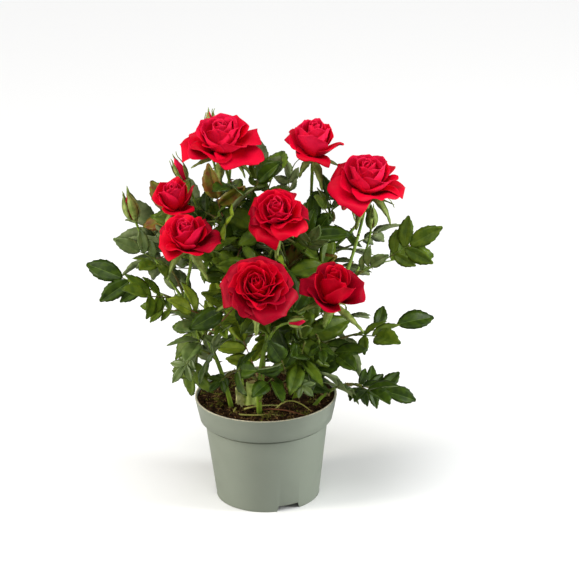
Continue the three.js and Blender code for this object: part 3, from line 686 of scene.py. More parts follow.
class Forms:
    """Points and faces of many small forms that become one piece."""

    def __init__(self):
        self.points, self.faces, self.finishes, self.count = [], [], [], 0

    def add(self, points, faces, finish=0):
        points = np.asarray(points, float)
        self.points.append(points)
        start = self.count
        self.faces += [[k + start for k in face] for face in faces]
        self.finishes += finish if isinstance(finish, list) else [finish] * len(faces)
        self.count += len(points)

    def piece(self, name, labels, slot, stands_for=(), smooth_faces=True):
        mesh = bpy.data.meshes.new(name)
        mesh.from_pydata((np.concatenate(self.points) * MM).tolist(), [], self.faces)
        for label in labels:
            mesh.materials.append(MATERIALS[label])
        mesh.polygons.foreach_set("material_index", self.finishes)
        mesh.polygons.foreach_set("use_smooth", [smooth_faces] * len(self.faces))
        mesh.update()
        piece = bpy.data.objects.new(name, mesh)
        bpy.context.scene.collection.objects.link(piece)
        return dress(piece, stands_for)


def dress(piece, stands_for=()):
    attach(piece, "root")
    if stands_for:
        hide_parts(*stands_for)
    return piece


def ring_faces(rings, sides):
    """Faces of a closed form whose points lie in rings."""
    faces = [list(range(sides))[::-1]]
    for i in range(rings - 1):
        for k in range(sides):
            n = (k + 1) % sides
            faces.append([i * sides + k, i * sides + n, (i + 1) * sides + n, (i + 1) * sides + k])
    faces.append([(rings - 1) * sides + k for k in range(sides)])
    return faces


def tube(spots, radii, sides):
    """A closed tube through spots, as points and faces."""
    spots = np.asarray(spots, float)
    aheads = np.gradient(spots, axis=0)
    aheads /= np.linalg.norm(aheads, axis=1, keepdims=True)
    across = unit(np.cross(aheads[0], vec(1, 0.3, 0) if abs(aheads[0][0]) < 0.8 else vec(0, 1, 0.3)))
    angles = np.arange(sides) * TURN / sides
    points = []
    for spot, ahead, radius in zip(spots, aheads, radii):
        across = unit(across - ahead * (across @ ahead))
        other = np.cross(ahead, across)
        points.append(spot + radius * (np.cos(angles)[:, None] * across + np.sin(angles)[:, None] * other))
    return np.concatenate(points), ring_faces(len(spots), sides)


def limb_side(limb, t, draw):
    """A spot just under a limb's surface, the way out from it and the way along."""
    ahead = limb["curve"].ahead(t)
    out = turned(unit(np.cross(ahead, vec(0.3, 1, 0))), ahead, draw() * TURN)
    return limb["curve"].at(t) + out * radius_at(limb, t) * 0.95, out, ahead


def spike(foot, out, along, length, radius):
    """A prickle: a flat-based cone that is long along the stem and hooks back."""
    side = unit(np.cross(out, along))
    base = (along * radius * 1.6, side * radius, -along * radius * 1.2, -side * radius)
    tip = foot + out * length - along * length * 0.25
    points = np.array([*(foot + way - out * 0.3 for way in base), tip])
    faces = [[0, 3, 2, 1], [0, 1, 4], [1, 2, 4], [2, 3, 4], [3, 0, 4]]
    if np.dot(np.cross(points[1] - points[0], points[4] - points[0]), out + along) < 0:
        faces = [face[::-1] for face in faces]
    return points, faces


# Petals: along the spiral from the heart (0) to the outside (1), where the tip stands as shares of
# the bloom's radius (out, up) when shut and when full, how the petal leaves its claw and how it
# ends when shut and when full, in degrees from upright, and half its width
WHORLS = np.array([
    [0.00, 0.04, 1.12, 0.03, 0.70, 28, -8, -20, 0.26],
    [0.20, 0.14, 1.11, 0.15, 0.72, 40, -8, -22, 0.34],
    [0.40, 0.27, 1.08, 0.34, 0.71, 52, -6, -8, 0.44],
    [0.60, 0.45, 1.03, 0.52, 0.66, 64, -4, 8, 0.52],
    [0.78, 0.62, 0.96, 0.74, 0.50, 74, 2, 42, 0.58],
    [0.90, 0.80, 0.86, 0.92, 0.30, 82, 8, 84, 0.66],
    [1.00, 0.92, 0.70, 1.04, 0.06, 84, 30, 116, 0.68],
])
# The grid of a petal: from edge to edge, closer at the edges, and from its claw to its rim
RIM_SPREAD = math.pi / 2 * 0.86
ACROSS = (np.sin(np.linspace(-1, 1, 19) * RIM_SPREAD) / math.sin(RIM_SPREAD))[None, :]
ALONG = (1 - (1 - np.linspace(0, 1, 13)) ** 1.5)[:, None]
PETAL_THICK = 0.35
# How wide a petal's claw is as a share of its width, and where along it it is widest and narrows
CLAW, WIDEST, NARROWS = 0.36, 0.72, 0.6
# How far apart its profile's inner points stand from its ends, as shares of its span
EASE_FOOT, EASE_TIP = 0.42, 0.36
# The share of petals that lie with the same edge inside the next one
SAME_LAP = 0.85


def petal_profile(t, opened, draw):
    """The four points of a petal's middle line: distance from the axis, and height."""
    row = [np.interp(t, WHORLS[:, 0], WHORLS[:, i]) for i in range(1, 8)]
    out = mix(row[0], row[2], opened) * mix(0.94 - 0.05 * t, 1.06 + 0.03 * t, draw())
    up = mix(row[1], row[3], opened) + mix(-0.05, 0.05, draw()) * (0.4 + t)
    start = math.radians(row[4])
    end = math.radians(mix(row[5], row[6], opened) + mix(-12, 12, draw()) * t)
    foot, tip = vec(0.03 + 0.03 * t, 0), vec(out, up)
    span = np.linalg.norm(tip - foot)
    near = foot + EASE_FOOT * span * vec(math.sin(start), math.cos(start))
    far = tip - EASE_TIP * span * vec(math.sin(end), math.cos(end))
    return foot, near, far, tip


def petal_sheet(t, opened, radius, draw):
    """One petal as a grid of points, standing towards +X with its claw at the origin."""
    foot, near, far, tip = petal_profile(t, opened, draw)
    half = np.interp(t, WHORLS[:, 0], WHORLS[:, 8]) * mix(0.9, 1.1, draw())
    # the rim is round, with a small point in its middle
    rim = 1 - (0.08 + 0.1 * t) * np.abs(ACROSS) ** 2.2 + 0.05 * t * np.exp(-((ACROSS / 0.2) ** 2))
    v = ALONG * rim
    weights = [(1 - v) ** 3, 3 * v * (1 - v) ** 2, 3 * v**2 * (1 - v), v**3]
    r, z = (sum(w * p[i] for w, p in zip(weights, (foot, near, far, tip))) for i in (0, 1))
    steps = [(1 - v) ** 2, 2 * v * (1 - v), v**2]
    legs = (near - foot, far - near, tip - far)
    dr, dz = (sum(w * p[i] for w, p in zip(steps, legs)) for i in (0, 1))
    lean = np.arctan2(dr, dz)
    wide = half * (CLAW + (1 - CLAW) * np.sin(np.clip(v / WIDEST, 0, 1) * math.pi / 2) ** 0.9)
    wide = wide * np.sqrt(1 - 0.72 * np.clip((v - NARROWS) / 0.4, 0, 1) ** 2)
    # the blade bends round the axis, more loosely further out
    bend = np.maximum(0.09, r * (1 + 0.55 * t)) * mix(0.9, 1.15, draw())
    angle = ACROSS * wide / bend
    inward = bend * (1 - np.cos(angle))
    # one edge lies inside the next petal and the other outside it
    inward = inward - (0.07 + 0.05 * t) * ACROSS * smooth(0, 0.5, v) * (1 if draw() < SAME_LAP else -1)
    # the shoulders roll back, the rim turns over, and the blade waves
    roll = (0.02 + 0.2 * t**1.5 * opened) * mix(0.6, 1.4, draw())
    inward = inward - roll * smooth(0.3, 1, np.abs(ACROSS)) * smooth(0.45, 1, ALONG)
    inward = inward - (0.012 + 0.035 * t) * smooth(0.86, 1, ALONG)
    slow, quick = draw() * TURN, draw() * TURN
    wave = 0.028 * (0.3 + t) * np.sin(3.1 * ACROSS + slow)
    wave = wave + 0.014 * (0.2 + t) * np.sin(7.3 * ACROSS + quick)
    inward = inward + wave * smooth(0.25, 1, ALONG)
    return np.stack([r - np.cos(lean) * inward, bend * np.sin(angle), z + np.sin(lean) * inward], -1) * radius


def petal_faces():
    """Quads of a petal's back, its face and its foot. The two sides share their rim."""
    rows, cols = len(ALONG), ACROSS.shape[1]
    back = np.arange(rows * cols).reshape(rows, cols)
    inside = np.zeros((rows, cols), bool)
    inside[:-1, 1:-1] = True
    face = back.copy()
    face[inside] = rows * cols + np.arange(inside.sum())

    def quads(grid, flip):
        corners = [grid[:-1, :-1], grid[:-1, 1:], grid[1:, 1:], grid[1:, :-1]]
        return np.stack(corners[::-1] if flip else corners, -1).reshape(-1, 4).tolist()

    foot = []
    for k in range(cols - 1):
        corners = [back[0, k + 1], back[0, k], face[0, k], face[0, k + 1]]
        foot.append([int(c) for i, c in enumerate(corners) if c not in corners[:i]])
    return quads(back, False), quads(face, True), foot, inside


PETAL_BACK, PETAL_FACE, PETAL_FOOT, PETAL_INSIDE = petal_faces()


def petal_points(sheet):
    normal = np.cross(np.gradient(sheet, axis=1), np.gradient(sheet, axis=0))
    normal /= np.linalg.norm(normal, axis=2, keepdims=True) + 1e-12
    face = sheet - normal * PETAL_THICK
    return np.concatenate([sheet.reshape(-1, 3), face[PETAL_INSIDE]])


def axis_frame(axis, roll=0.0):
    """Rows that turn upright points to an axis."""
    turn = Vector((0, 0, 1)).rotation_difference(Vector(axis)) @ Quaternion((0, 0, 1), roll)
    return np.array(turn.to_matrix()).T


# How many of a bloom's outermost petals stand evenly, and how far along the spiral the finishes of
# the petals' faces and of their backs change
OUTERMOST = 5
HEART_TO, MIDDLE_TO, BLUSH_TO = 0.3, 0.7, 0.84


def petal_face_finish(t, ring):
    # Petals near the heart take its paler, pinker finish, a painted highlight
    if t < HEART_TO:
        return HEART_HIGHLIGHT
    if t < MIDDLE_TO:
        return MIDDLE
    # Every other one of the outermost petals takes a darker red, painted shade that gives the bloom depth
    return OUTER if ring < 0 or ring % 2 else PAINTED_SHADE


def add_petals(forms, radius, stretch, opening, count, seed, axis, foot):
    """Petals along a spiral. The outermost ones stand two fifths of a turn apart."""
    inner, outer, opens_from = opening
    draw = seeded(seed)
    turn = draw() * TURN
    upright = axis_frame(axis)
    for i in range(count):
        t = (i / (count - 1)) ** 0.9
        opened = mix(inner, outer, float(smooth(opens_from, 1, t)))
        points = petal_points(petal_sheet(t, opened, radius, draw)) * [1, 1, stretch]
        ring = i - (count - OUTERMOST)
        step = ring * 2 * TURN / 5 if ring >= 0 else i * GOLDEN
        angle = turn + step + mix(-0.12, 0.12, draw())
        c, s = math.cos(angle), math.sin(angle)
        points = points @ np.array([[c, s, 0], [-s, c, 0], [0, 0, 1]]) @ upright + foot
        back = BLUSH if t < BLUSH_TO else BACK
        face = petal_face_finish(t, ring)
        kinds = [back] * len(PETAL_BACK) + [face] * len(PETAL_FACE) + [back] * len(PETAL_FOOT)
        forms.add(points, PETAL_BACK + PETAL_FACE + PETAL_FOOT, kinds)


def blade(spots, sides, widths, face, thick, teeth=0.0):
    """A narrow leafy blade along spots: a face, a back and, if wanted, small lobes at its edges."""
    n = len(spots)
    left = [s - a * w for s, a, w in zip(spots, sides, widths)]
    right = [s + a * w for s, a, w in zip(spots, sides, widths)]
    for k in range(1, n - 1):
        if teeth and k % 2:
            left[k] = left[k] - sides[k] * teeth
            right[k] = right[k] + sides[k] * teeth
    top = [s + f * thick * 0.5 for s, f in zip(spots, face)]
    under = [s - f * thick * 0.5 for s, f in zip(spots, face)]
    points = [*top, *under, *left, *right]
    faces = []
    for k in range(n - 1):
        t0, t1, u0, u1 = k, k + 1, n + k, n + k + 1
        l0, l1, r0, r1 = 2 * n + k, 2 * n + k + 1, 3 * n + k, 3 * n + k + 1
        faces += [[t0, t1, l1, l0], [t0, r0, r1, t1], [u0, l0, l1, u1], [u0, u1, r1, r0]]
    faces.append([0, 2 * n, n, 3 * n])
    last = n - 1
    faces.append([last, 3 * n + last, n + last, 2 * n + last])
    return np.array(points), faces


def add_sepal(forms, foot, axis, out, length, width, curl, draw):
    """A sepal that leaves the hip along the axis and bends out and down by curl degrees."""
    steps = 9
    side = np.cross(axis, out)
    spots, faces_up, sides = [], [], []
    spot = foot.copy()
    angle = math.radians(mix(88, 106, draw()))
    for k in range(steps):
        t = k / (steps - 1)
        spots.append(spot.copy())
        ahead = axis * math.cos(angle) + out * math.sin(angle)
        faces_up.append(axis * math.sin(angle) - out * math.cos(angle))
        sides.append(side)
        spot = spot + ahead * length / (steps - 1)
        angle += math.radians(curl) / steps * (1.6 - 1.2 * t)
    shape = np.sin(np.linspace(0.16, 1, steps) * math.pi * 0.93) ** 0.8
    tail = 1 - 0.45 * smooth(0.35, 0.8, np.linspace(0, 1, steps))
    points, faces = blade(spots, sides, width * shape * tail, faces_up, 0.7, teeth=0.14 * width)
    forms.add(points, faces)


# Radius and height of a hip as shares of its own
HIP_PROFILE = [(0.42, -1.0), (0.55, -0.92), (0.92, -0.7), (1.05, -0.42), (0.8, -0.14), (0.5, 0.0)]


def add_hip(forms, foot, axis, radius, length):
    """The green hip under a bloom."""
    spots = [foot + axis * length * z for _, z in HIP_PROFILE]
    forms.add(*tube(spots, [radius * r for r, _ in HIP_PROFILE], 12))


def build_bloom(bloom):
    name, radius, seed = bloom.name, bloom.radius, bloom.seed
    axis = leaning(bloom.lean - MORE_UPRIGHT.get(name, 0), bloom.azimuth)
    deeper = DEEPER_CUP.get(name, 0)
    foot = bloom_foot(bloom) - axis * (deeper * radius + LOWER.get(name, 0))
    petals = Forms()
    size = radius * WIDER.get(name, 1)
    add_petals(petals, size, (1 + deeper) * radius / size, bloom.opening, bloom.petals, seed, axis, foot)
    # Some blooms take paler finishes as painted light and some darker ones as painted shade
    tones = [PETAL_FINISHES[k] for k in BLOOM_TONES.get(name, range(len(PETAL_FINISHES)))]
    petals.piece(f"{name}_petals", tones, "petal", [name])
    draw = seeded(seed + 50)
    green = Forms()
    add_hip(green, foot - axis * 0.02 * radius, axis, 0.13 * radius + 0.6, HIP * radius)
    upright = axis_frame(axis, draw() * 6)
    for k in range(5):
        angle = k * TURN / 5 + mix(-0.2, 0.2, draw())
        out = vec(math.cos(angle), math.sin(angle), 0) @ upright
        length = radius * mix(0.75, 1.3, draw())
        start = foot + out * 0.08 * radius - axis * 0.07 * radius
        width = 0.08 * radius + 1.6
        add_sepal(green, start, axis, out, length, width, mix(20, 95, draw()), draw)
    green.piece(f"{name}_calyx", ["sepal_green"], "bud_green")
    build_stem(name, "stem", "bud_green", seed, sides=9, prickles=7, hairs=26)


# A stem in mm: length of its steps and of the stretches between its joints, how much a joint swells
# it and how long that reaches, and how deep its ridges and its slow waves are
STEM = {"step": 3.2, "joints": 45, "swell": 0.16, "swell_reach": 2.6, "ridge": 0.035, "wave": 0.04}
# Where prickles and fine hairs stand along a stem, their length and their radius
PRICKLES, HAIRS = ((0.12, 0.85), 2.6, 0.62), ((0.55, 0.97), 0.9, 0.16)


def build_stem(name, suffix, slot, seed, sides, prickles, hairs, bark="stem_green", stands_for=(), slim=0.9):
    """A stem with soft ridges, swellings at its joints, prickles and fine hairs near its tip."""
    limb = limbs[name]
    length = limb["length"]
    draw = seeded(seed + 900)
    count = max(8, int(length / STEM["step"]))
    knots = [mix(0.1, 0.95, draw()) for _ in range(2 + int(length / STEM["joints"]))]
    places = np.linspace(0, 1, count + 1)
    spots = np.array([limb["curve"].at(t) for t in places])
    radii = []
    for t in places:
        swell = sum(STEM["swell"] * math.exp(-(((t - k) * length / STEM["swell_reach"]) ** 2)) for k in knots)
        radii.append(slim * radius_at(limb, t) * (1 + swell + STEM["wave"] * math.sin(t * length * 0.9)))
    points, faces = tube(spots, radii, sides)
    ridge = np.tile(np.cos(np.arange(sides) * TURN * 3 / sides), count + 1)
    centre = np.repeat(spots, sides, axis=0)
    forms = Forms()
    forms.add(centre + (points - centre) * (1 + STEM["ridge"] * ridge[:, None]), faces)
    for k in range(prickles + hairs):
        fine = k >= prickles
        span, long, wide = HAIRS if fine else PRICKLES
        side = limb_side(limb, mix(*span, draw()), draw)
        size = mix(0.7, 1.2, draw())
        forms.add(*spike(*side, long * size, wide if fine else wide * size), 1)
    forms.piece(f"{name}_{suffix}", [bark, "prickle"], slot, stands_for)


# A bud: its radius as a share of the frame's, its rings and sides, and how high a petal's edge stands
BUD = {"slim": 0.9, "rings": 13, "sides": 18, "lap": 0.14}


def bud_body(height):
    """A bud's radius at a height, as shares of its own."""
    return math.sin(math.pi * (0.1 + 0.9 * height) ** 0.72) ** 0.85


def build_bud(bud):
    name, length, red = bud.name, bud.length, bud.red
    radius = bud.radius * BUD["slim"]
    axis = leaning(bud.lean, bud.azimuth)
    draw = seeded(int(length * 7 + radius * 10))
    foot = vec(*bud.middle) - axis * 0.5 * length
    petals = Forms()
    upright = axis_frame(axis, draw() * 6 + BUD_TURN.get(name, 0))
    # one wrapped form, with the edges of three petals as a spiral step round it
    points = []
    for h in np.linspace(0, 1, BUD["rings"]):
        body = bud_body(h) if h < 1 else 0.02
        for k in range(BUD["sides"]):
            angle = TURN * k / BUD["sides"]
            lap = ((angle * 3 / TURN + h * 1.3) % 1.0) * BUD["lap"]
            r = radius * 0.93 * body * (0.9 + lap)
            points.append(vec(r * math.cos(angle), r * math.sin(angle), h * length * 0.97) @ upright + foot)
    petals.add(points, ring_faces(BUD["rings"], BUD["sides"]))
    petals.piece(f"{name}_petals", [PETAL_FINISHES[BLUSH if red > OPEN_BUD else BACK]], "petal")
    green = Forms()
    add_hip(green, foot + axis * 1.5, axis, radius * 0.5, length * 0.24)
    for k in range(5):
        angle = k * TURN / 5 + mix(-0.1, 0.1, draw())
        out = vec(math.cos(angle), math.sin(angle), 0) @ upright
        add_bud_sepal(green, bud, foot, axis, out, radius, draw)
    green.piece(f"{name}_sepals", ["sepal_green"], "bud_green", [name])
    build_stem(name, "stem", "bud_green", int(length), sides=8, prickles=3, hairs=16)


def add_bud_sepal(forms, bud, foot, axis, out, radius, draw):
    """A sepal that lies on a bud. The redder the bud, the looser and the narrower it is."""
    steps = 11
    length, red = bud.length, bud.red
    reach = length * mix(mix(1.05, 0.8, red), mix(1.4, 1.15, red), draw())
    loosen = mix(0.2, 1.1, draw()) * red
    spots, widths = [], []
    for t in (j / (steps - 1) for j in range(steps)):
        h = t * reach / length
        r = radius * (0.98 * bud_body(min(h, 0.98)) + 0.09) + loosen * radius * t**2 * 1.6
        spots.append(foot + axis * h * length + out * r)
        wide = radius * mix(0.84, 0.34, red) * math.sin(math.pi * (0.14 + 0.8 * t)) ** 0.7
        widths.append(wide * (1 - 0.75 * smooth(0.55, 1.0, t)))
    side = np.cross(axis, out)
    forms.add(*blade(spots, [side] * steps, widths, [out] * steps, 0.8, teeth=0.25))


# Leaflets: one saw-toothed outline, with a sunk rib, raised quilting and a paler back
STATIONS = (0, 0.09, 0.23, 0.39, 0.56, 0.72, 0.87, 1.0)
RIB_HALF = 0.024
# How far a leaflet is drawn out past the rule's own, along and across
LEAFLET_GROWN = (1.2, 1.06)


def leaflet_half(x):
    """Half the width of a leaflet's outline, drawn out towards its tip."""
    if not 0 < x < 1:
        return 0.0
    return math.sin(math.pi * x**0.88) ** 0.72 * (1 - 0.3 * float(smooth(0.7, 1.0, x)))


def leaflet_form():
    """Points (along, across, relief) and faces of a leaflet of length 1 and half width 1."""
    points = [(0, 0, 0), (1, 0, 0)]
    last = len(STATIONS) - 1
    index = {}
    for k in range(1, last):
        x = STATIONS[k]
        h = leaflet_half(x)
        index["under", k] = len(points)
        points.append((x, 0, -0.02))
        for side in (-1, 1):
            for row, across, relief in (
                ("rib", RIB_HALF, -0.012),
                ("mid", 0.52 * h, 0.02 if k % 2 else 0.036),
                ("edge", h * 0.97, -0.006 if k % 2 else 0.012),
            ):
                index[row, side, k] = len(points)
                points.append((x, side * across, relief))
    for k in range(last):
        x = mix(STATIONS[k], STATIONS[k + 1], 0.7)
        for side in (-1, 1):
            index["tooth", side, k] = len(points)
            points.append((x + 0.02, side * (leaflet_half(x) + 0.03), 0.004))

    def at(row, side, k):
        if k in (0, last):
            return int(k == last)
        return index[row, k] if row == "under" else index[row, side, k]

    faces, kinds = [], []

    def face(corners, kind, flip):
        corners = [c for i, c in enumerate(corners) if c not in corners[:i]]
        faces.append(corners[::-1] if flip else corners)
        kinds.append(kind)

    for k in range(last):
        n = k + 1
        face([at("rib", -1, k), at("rib", -1, n), at("rib", 1, n), at("rib", 1, k)], "rib", False)
        for side in (-1, 1):
            flip = side < 0
            rib, mid, under = ([at(row, side, k), at(row, side, n)] for row in ("rib", "mid", "under"))
            edge = [at("edge", side, n), index["tooth", side, k], at("edge", side, k)]
            face([*rib, *mid[::-1]], "upper", flip)
            face([*mid, *edge], "upper", flip)
            face([*under, *edge], "under", not flip)
    return np.array(points, float), faces, kinds


LEAFLET_POINTS, LEAFLET_FACES, LEAFLET_KINDS = leaflet_form()


def add_leaflet(forms, leaflet, tones, draw):
    """One leaflet in its place. It arches, waves and hangs a little, each in its own way."""
    length, width = leaflet["length"] * LEAFLET_GROWN[0], leaflet["width"] * LEAFLET_GROWN[1]
    x, y, z = LEAFLET_POINTS.T
    fold = LEAF["fold"] * mix(0.5, 1.5, draw())
    droop = mix(-0.12, 0.26, draw())
    twist = mix(-0.35, 0.35, draw())
    across = y * width / 2
    off = z * length + fold * 2 * np.abs(across) - LEAF["hang"] * np.maximum(0, x - LEAF["widest"]) * length
    off = off - droop * length * np.maximum(0, x - 0.35) ** 2 + twist * across * x
    off = off + 0.012 * length * np.sin(x * 9 + draw() * 6) * np.abs(y)
    points = (
        leaflet["foot"]
        + np.outer(x * length, leaflet["ahead"])
        + np.outer(across, leaflet["aside"])
        + np.outer(off, leaflet["face"])
    )
    forms.add(points, LEAFLET_FACES, [tones[kind] for kind in LEAFLET_KINDS])


# Places in the list of leaf finishes
DARK, GREEN, FRESH, BRONZE, RIB, UNDER, GLOSSY_PAINTED_SHEEN = range(7)
BRONZE_SHARE = 0.14
# The shares of dark leaves and of leaves with gloss whose paler, greyer tones are a painted sheen, and masses
# in which they differ
USUAL_TONES = (0.5, 0.08)
LEAF_TONES = {
    "leaves_left_far": (0.6, 0.2),
    "leaves_left_low": (0.1, 0.6),
    "leaves_left_inner": (0.3, 0.25),
    "leaves_front_left": (0.4, 0.2),
    "leaves_front_right": (0.3, 0.15),
    "leaves_right_low": (0.85, 0.0),
    "leaves_right_mid": (0.5, 0.1),
    "leaves_right_far": (0.1, 0.2),
}
# A leaf's stipules: places along the stalk in mm and half widths. A mass's prickles: count, span,
# length and radius
STIPULE = ((-2.4, 0.2, 2.8, 5.0), (1.1, 1.6, 1.5, 0.3))
MASS_PRICKLES = (5, (0.1, 0.85), 2.1, 0.5)


def leaf_shade(name, young, tone):
    """The finish of a leaf's upper face, for a tone from 0 to 1."""
    if young:
        return BRONZE if tone < BRONZE_SHARE else FRESH
    dark, gloss_and_sheen_share = LEAF_TONES.get(name, USUAL_TONES)
    # Leaves with gloss take paler, greyer tones, a painted sheen
    if tone > dark + gloss_and_sheen_share:
        return GREEN
    return DARK if tone > gloss_and_sheen_share else GLOSSY_PAINTED_SHEEN


def add_leaf_stalk(wood, leaf, young):
    """A leaf's stalk, and the pair of stipules at its foot."""
    curve = leaf["curve"]
    radius = LEAF["stalk_radius"] * mix(0.7, 1.0, min(1.0, leaf["size"]))
    spots = [curve.at(t) for t in np.linspace(0, 1, 6)]
    wood.add(*tube(spots, np.linspace(radius, radius * 0.6, 6), 5), 1 if young else 0)
    ahead = curve.ahead(0)
    aside = unit(np.cross(leaf["face"], ahead))
    spine = [curve.at(0.09) + ahead * s for s in STIPULE[0]]
    wood.add(*blade(spine, [aside] * 4, STIPULE[1], [leaf["face"]] * 4, 0.4))


def build_mass(shoot):
    name, limb = shoot.name, limbs[shoot.name]
    draw = seeded(shoot.seed + 77)
    blades, wood = Forms(), Forms()
    for i, leaf in enumerate(foliage[name]):
        young = draw() < shoot.young and i > 0
        tones = {"upper": leaf_shade(name, young, draw()), "rib": RIB, "under": UNDER}
        for leaflet in leaf["leaflets"]:
            add_leaflet(blades, leaflet, tones, draw)
        add_leaf_stalk(wood, leaf, young)
    for twig in twigs[name]:
        spots = [twig.at(t) for t in np.linspace(0, 1, 8)]
        wood.add(*tube(spots, np.linspace(0.95, 0.65, 8), 6))
    places = np.linspace(0, 1, max(8, int(limb["length"] / 4)))
    spots = [limb["curve"].at(t) for t in places]
    wood.add(*tube(spots, [radius_at(limb, t) * (1 + 0.06 * math.sin(60 * t)) for t in places], 8))
    count, span, long, wide = MASS_PRICKLES
    for _ in range(count):
        wood.add(*spike(*limb_side(limb, mix(*span, draw()), draw), long, wide), 2)
    blades.piece(f"{name}_leaflets", LEAF_FINISHES, "leaf", [name])
    wood.piece(f"{name}_twigs", ["twig_green", "young_twig", "prickle"], "leaf")


# Materials

COLOUR, NUMBER = "NodeSocketColor", "NodeSocketFloat"


def group(name, inputs, outputs):
    tree = bpy.data.node_groups.new(name, "ShaderNodeTree")
    for label, kind, value in inputs:
        socket = tree.interface.new_socket(label, in_out="INPUT", socket_type=kind)
        socket.default_value = value
    for label, kind in outputs:
        tree.interface.new_socket(label, in_out="OUTPUT", socket_type=kind)
    return tree, tree.nodes.new("NodeGroupInput"), tree.nodes.new("NodeGroupOutput")


def add_node(tree, kind, values=(), **settings):
    """A shader node with its settings and the values of its sockets."""
    node = tree.nodes.new(f"ShaderNode{kind}")
    for label, value in settings.items():
        setattr(node, label, value)
    for socket, value in dict(values).items():
        node.inputs[socket].default_value = value
    return node


def wire(tree, links):
    for source, output, target, socket in links:
        tree.links.new(source.outputs[output], target.inputs[socket])


def mottle_group():
    """Two tones in soft patches."""
    inputs = [
        ("Light", COLOUR, (1, 1, 1, 1)),
        ("Dark", COLOUR, (0, 0, 0, 1)),
        ("Scale", NUMBER, 100.0),
        ("Low", NUMBER, 0.4),
        ("High", NUMBER, 0.6),
    ]
    tree, given, result = group("mottle", inputs, [("Color", COLOUR), ("Mask", NUMBER)])
    place = add_node(tree, "TexCoord")
    pattern = add_node(tree, "TexNoise", {"Detail": 4})
    spread = add_node(tree, "MapRange")
    blend = add_node(tree, "Mix", data_type="RGBA")
    wire(tree, [
        (place, "Object", pattern, "Vector"),
        (given, "Scale", pattern, "Scale"),
        (pattern, "Fac", spread, "Value"),
        (given, "Low", spread, "From Min"),
        (given, "High", spread, "From Max"),
        (spread, "Result", blend, "Factor"),
        (given, "Dark", blend, "A"),
        (given, "Light", blend, "B"),
        (blend, "Result", result, "Color"),
        (spread, "Result", result, "Mask"),
    ])
    return tree


def grain_group():
    """The height of a fine grain laid over a coarser one."""
    inputs = [("Scale", NUMBER, 500.0), ("Coarse", NUMBER, 0.5)]
    tree, given, result = group("fine_grain", inputs, [("Height", NUMBER)])
    place = add_node(tree, "TexCoord")
    fine = add_node(tree, "TexNoise", {"Detail": 5})
    coarse = add_node(tree, "TexNoise")
    share = add_node(tree, "Math", {1: 0.2}, operation="MULTIPLY")
    weigh = add_node(tree, "Math", operation="MULTIPLY_ADD")
    wire(tree, [
        (place, "Object", fine, "Vector"),
        (place, "Object", coarse, "Vector"),
        (given, "Scale", fine, "Scale"),
        (given, "Scale", share, 0),
        (share, 0, coarse, "Scale"),
        (coarse, "Fac", weigh, 0),
        (given, "Coarse", weigh, 1),
        (fine, "Fac", weigh, 2),
        (weigh, 0, result, "Height"),
    ])
    return tree


MOTTLE = mottle_group()
GRAIN = grain_group()
MATERIALS = {}
# How deep the grain of a finish is, in metres
RELIEF = 0.0004


def add_finish(name, light, dark, scale, roughness, bump, grain_scale, level=0.5,
               coarse=0.5, patches=(0.38, 0.62), sheen=()):
    """A material with two mottled tones, a grain in its surface and roughness that follows it."""
    material = bpy.data.materials.new(name)
    material.use_nodes = True
    tree = material.node_tree
    shader = tree.nodes["Principled BSDF"]
    shader.inputs["Specular IOR Level"].default_value = level
    for label, value in sheen:
        shader.inputs[label].default_value = value
    low, high = patches
    values = {"Light": (*light, 1), "Dark": (*dark, 1), "Scale": scale, "Low": low, "High": high}
    tones = add_node(tree, "Group", values, node_tree=MOTTLE)
    grain = add_node(tree, "Group", {"Scale": grain_scale, "Coarse": coarse}, node_tree=GRAIN)
    relief = add_node(tree, "Bump", {"Strength": bump, "Distance": RELIEF})
    rough = add_node(tree, "MapRange", {"To Min": roughness * 1.15, "To Max": roughness * 0.85})
    wire(tree, [
        (tones, "Color", shader, "Base Color"),
        (tones, "Mask", rough, "Value"),
        (rough, "Result", shader, "Roughness"),
        (grain, "Height", relief, "Height"),
        (relief, "Normal", shader, "Normal"),
    ])
    material.diffuse_color = (*light, 1)
    MATERIALS[name] = material


# Light and dark tone of each finish, in linear colour. Petals, from a bloom's heart outwards:
PETAL_TONES = {
    # The heart's paler, pinker tones are a painted highlight
    "petal_heart": ((0.92, 0.02, 0.09), (0.78, 0.005, 0.05)),
    "petal_middle": ((0.82, 0.002, 0.034), (0.66, 0.0, 0.022)),
    "petal_outer": ((0.72, 0.0, 0.022), (0.5, 0.0, 0.013)),
    "petal_back": ((0.5, 0.0, 0.022), (0.3, 0.0, 0.012)),
    "petal_blush": ((0.86, 0.012, 0.075), (0.68, 0.003, 0.04)),
    # A darker red for every other outermost petal and on darker blooms: painted shade
    "petal_wine": ((0.46, 0.0, 0.018), (0.24, 0.0, 0.01)),
}
VELVET = (("Sheen Weight", 0.08), ("Sheen Roughness", 0.3), ("Sheen Tint", (1, 0.12, 0.28, 1)))
# Leaflets, each with its roughness and specular level
LEAF_LOOKS = {
    "leaf_dark": ((0.04, 0.075, 0.003), (0.016, 0.036, 0.001), 0.42, 0.15),
    "leaf_green": ((0.1, 0.15, 0.009), (0.05, 0.09, 0.004), 0.42, 0.15),
    "leaf_fresh": ((0.21, 0.28, 0.02), (0.12, 0.18, 0.01), 0.42, 0.15),
    "leaf_bronze": ((0.15, 0.15, 0.015), (0.15, 0.05, 0.012), 0.42, 0.15),
    "leaf_rib": ((0.1, 0.16, 0.02), (0.06, 0.11, 0.01), 0.5, 0.2),
    "leaf_under": ((0.18, 0.22, 0.09), (0.11, 0.15, 0.05), 0.6, 0.2),
    # Leaves with gloss: lower roughness and a higher specular level, and paler, greyer tones that are a
    # painted sheen
    "leaf_glossy": ((0.135, 0.19, 0.05), (0.075, 0.12, 0.025), 0.38, 0.35),
}
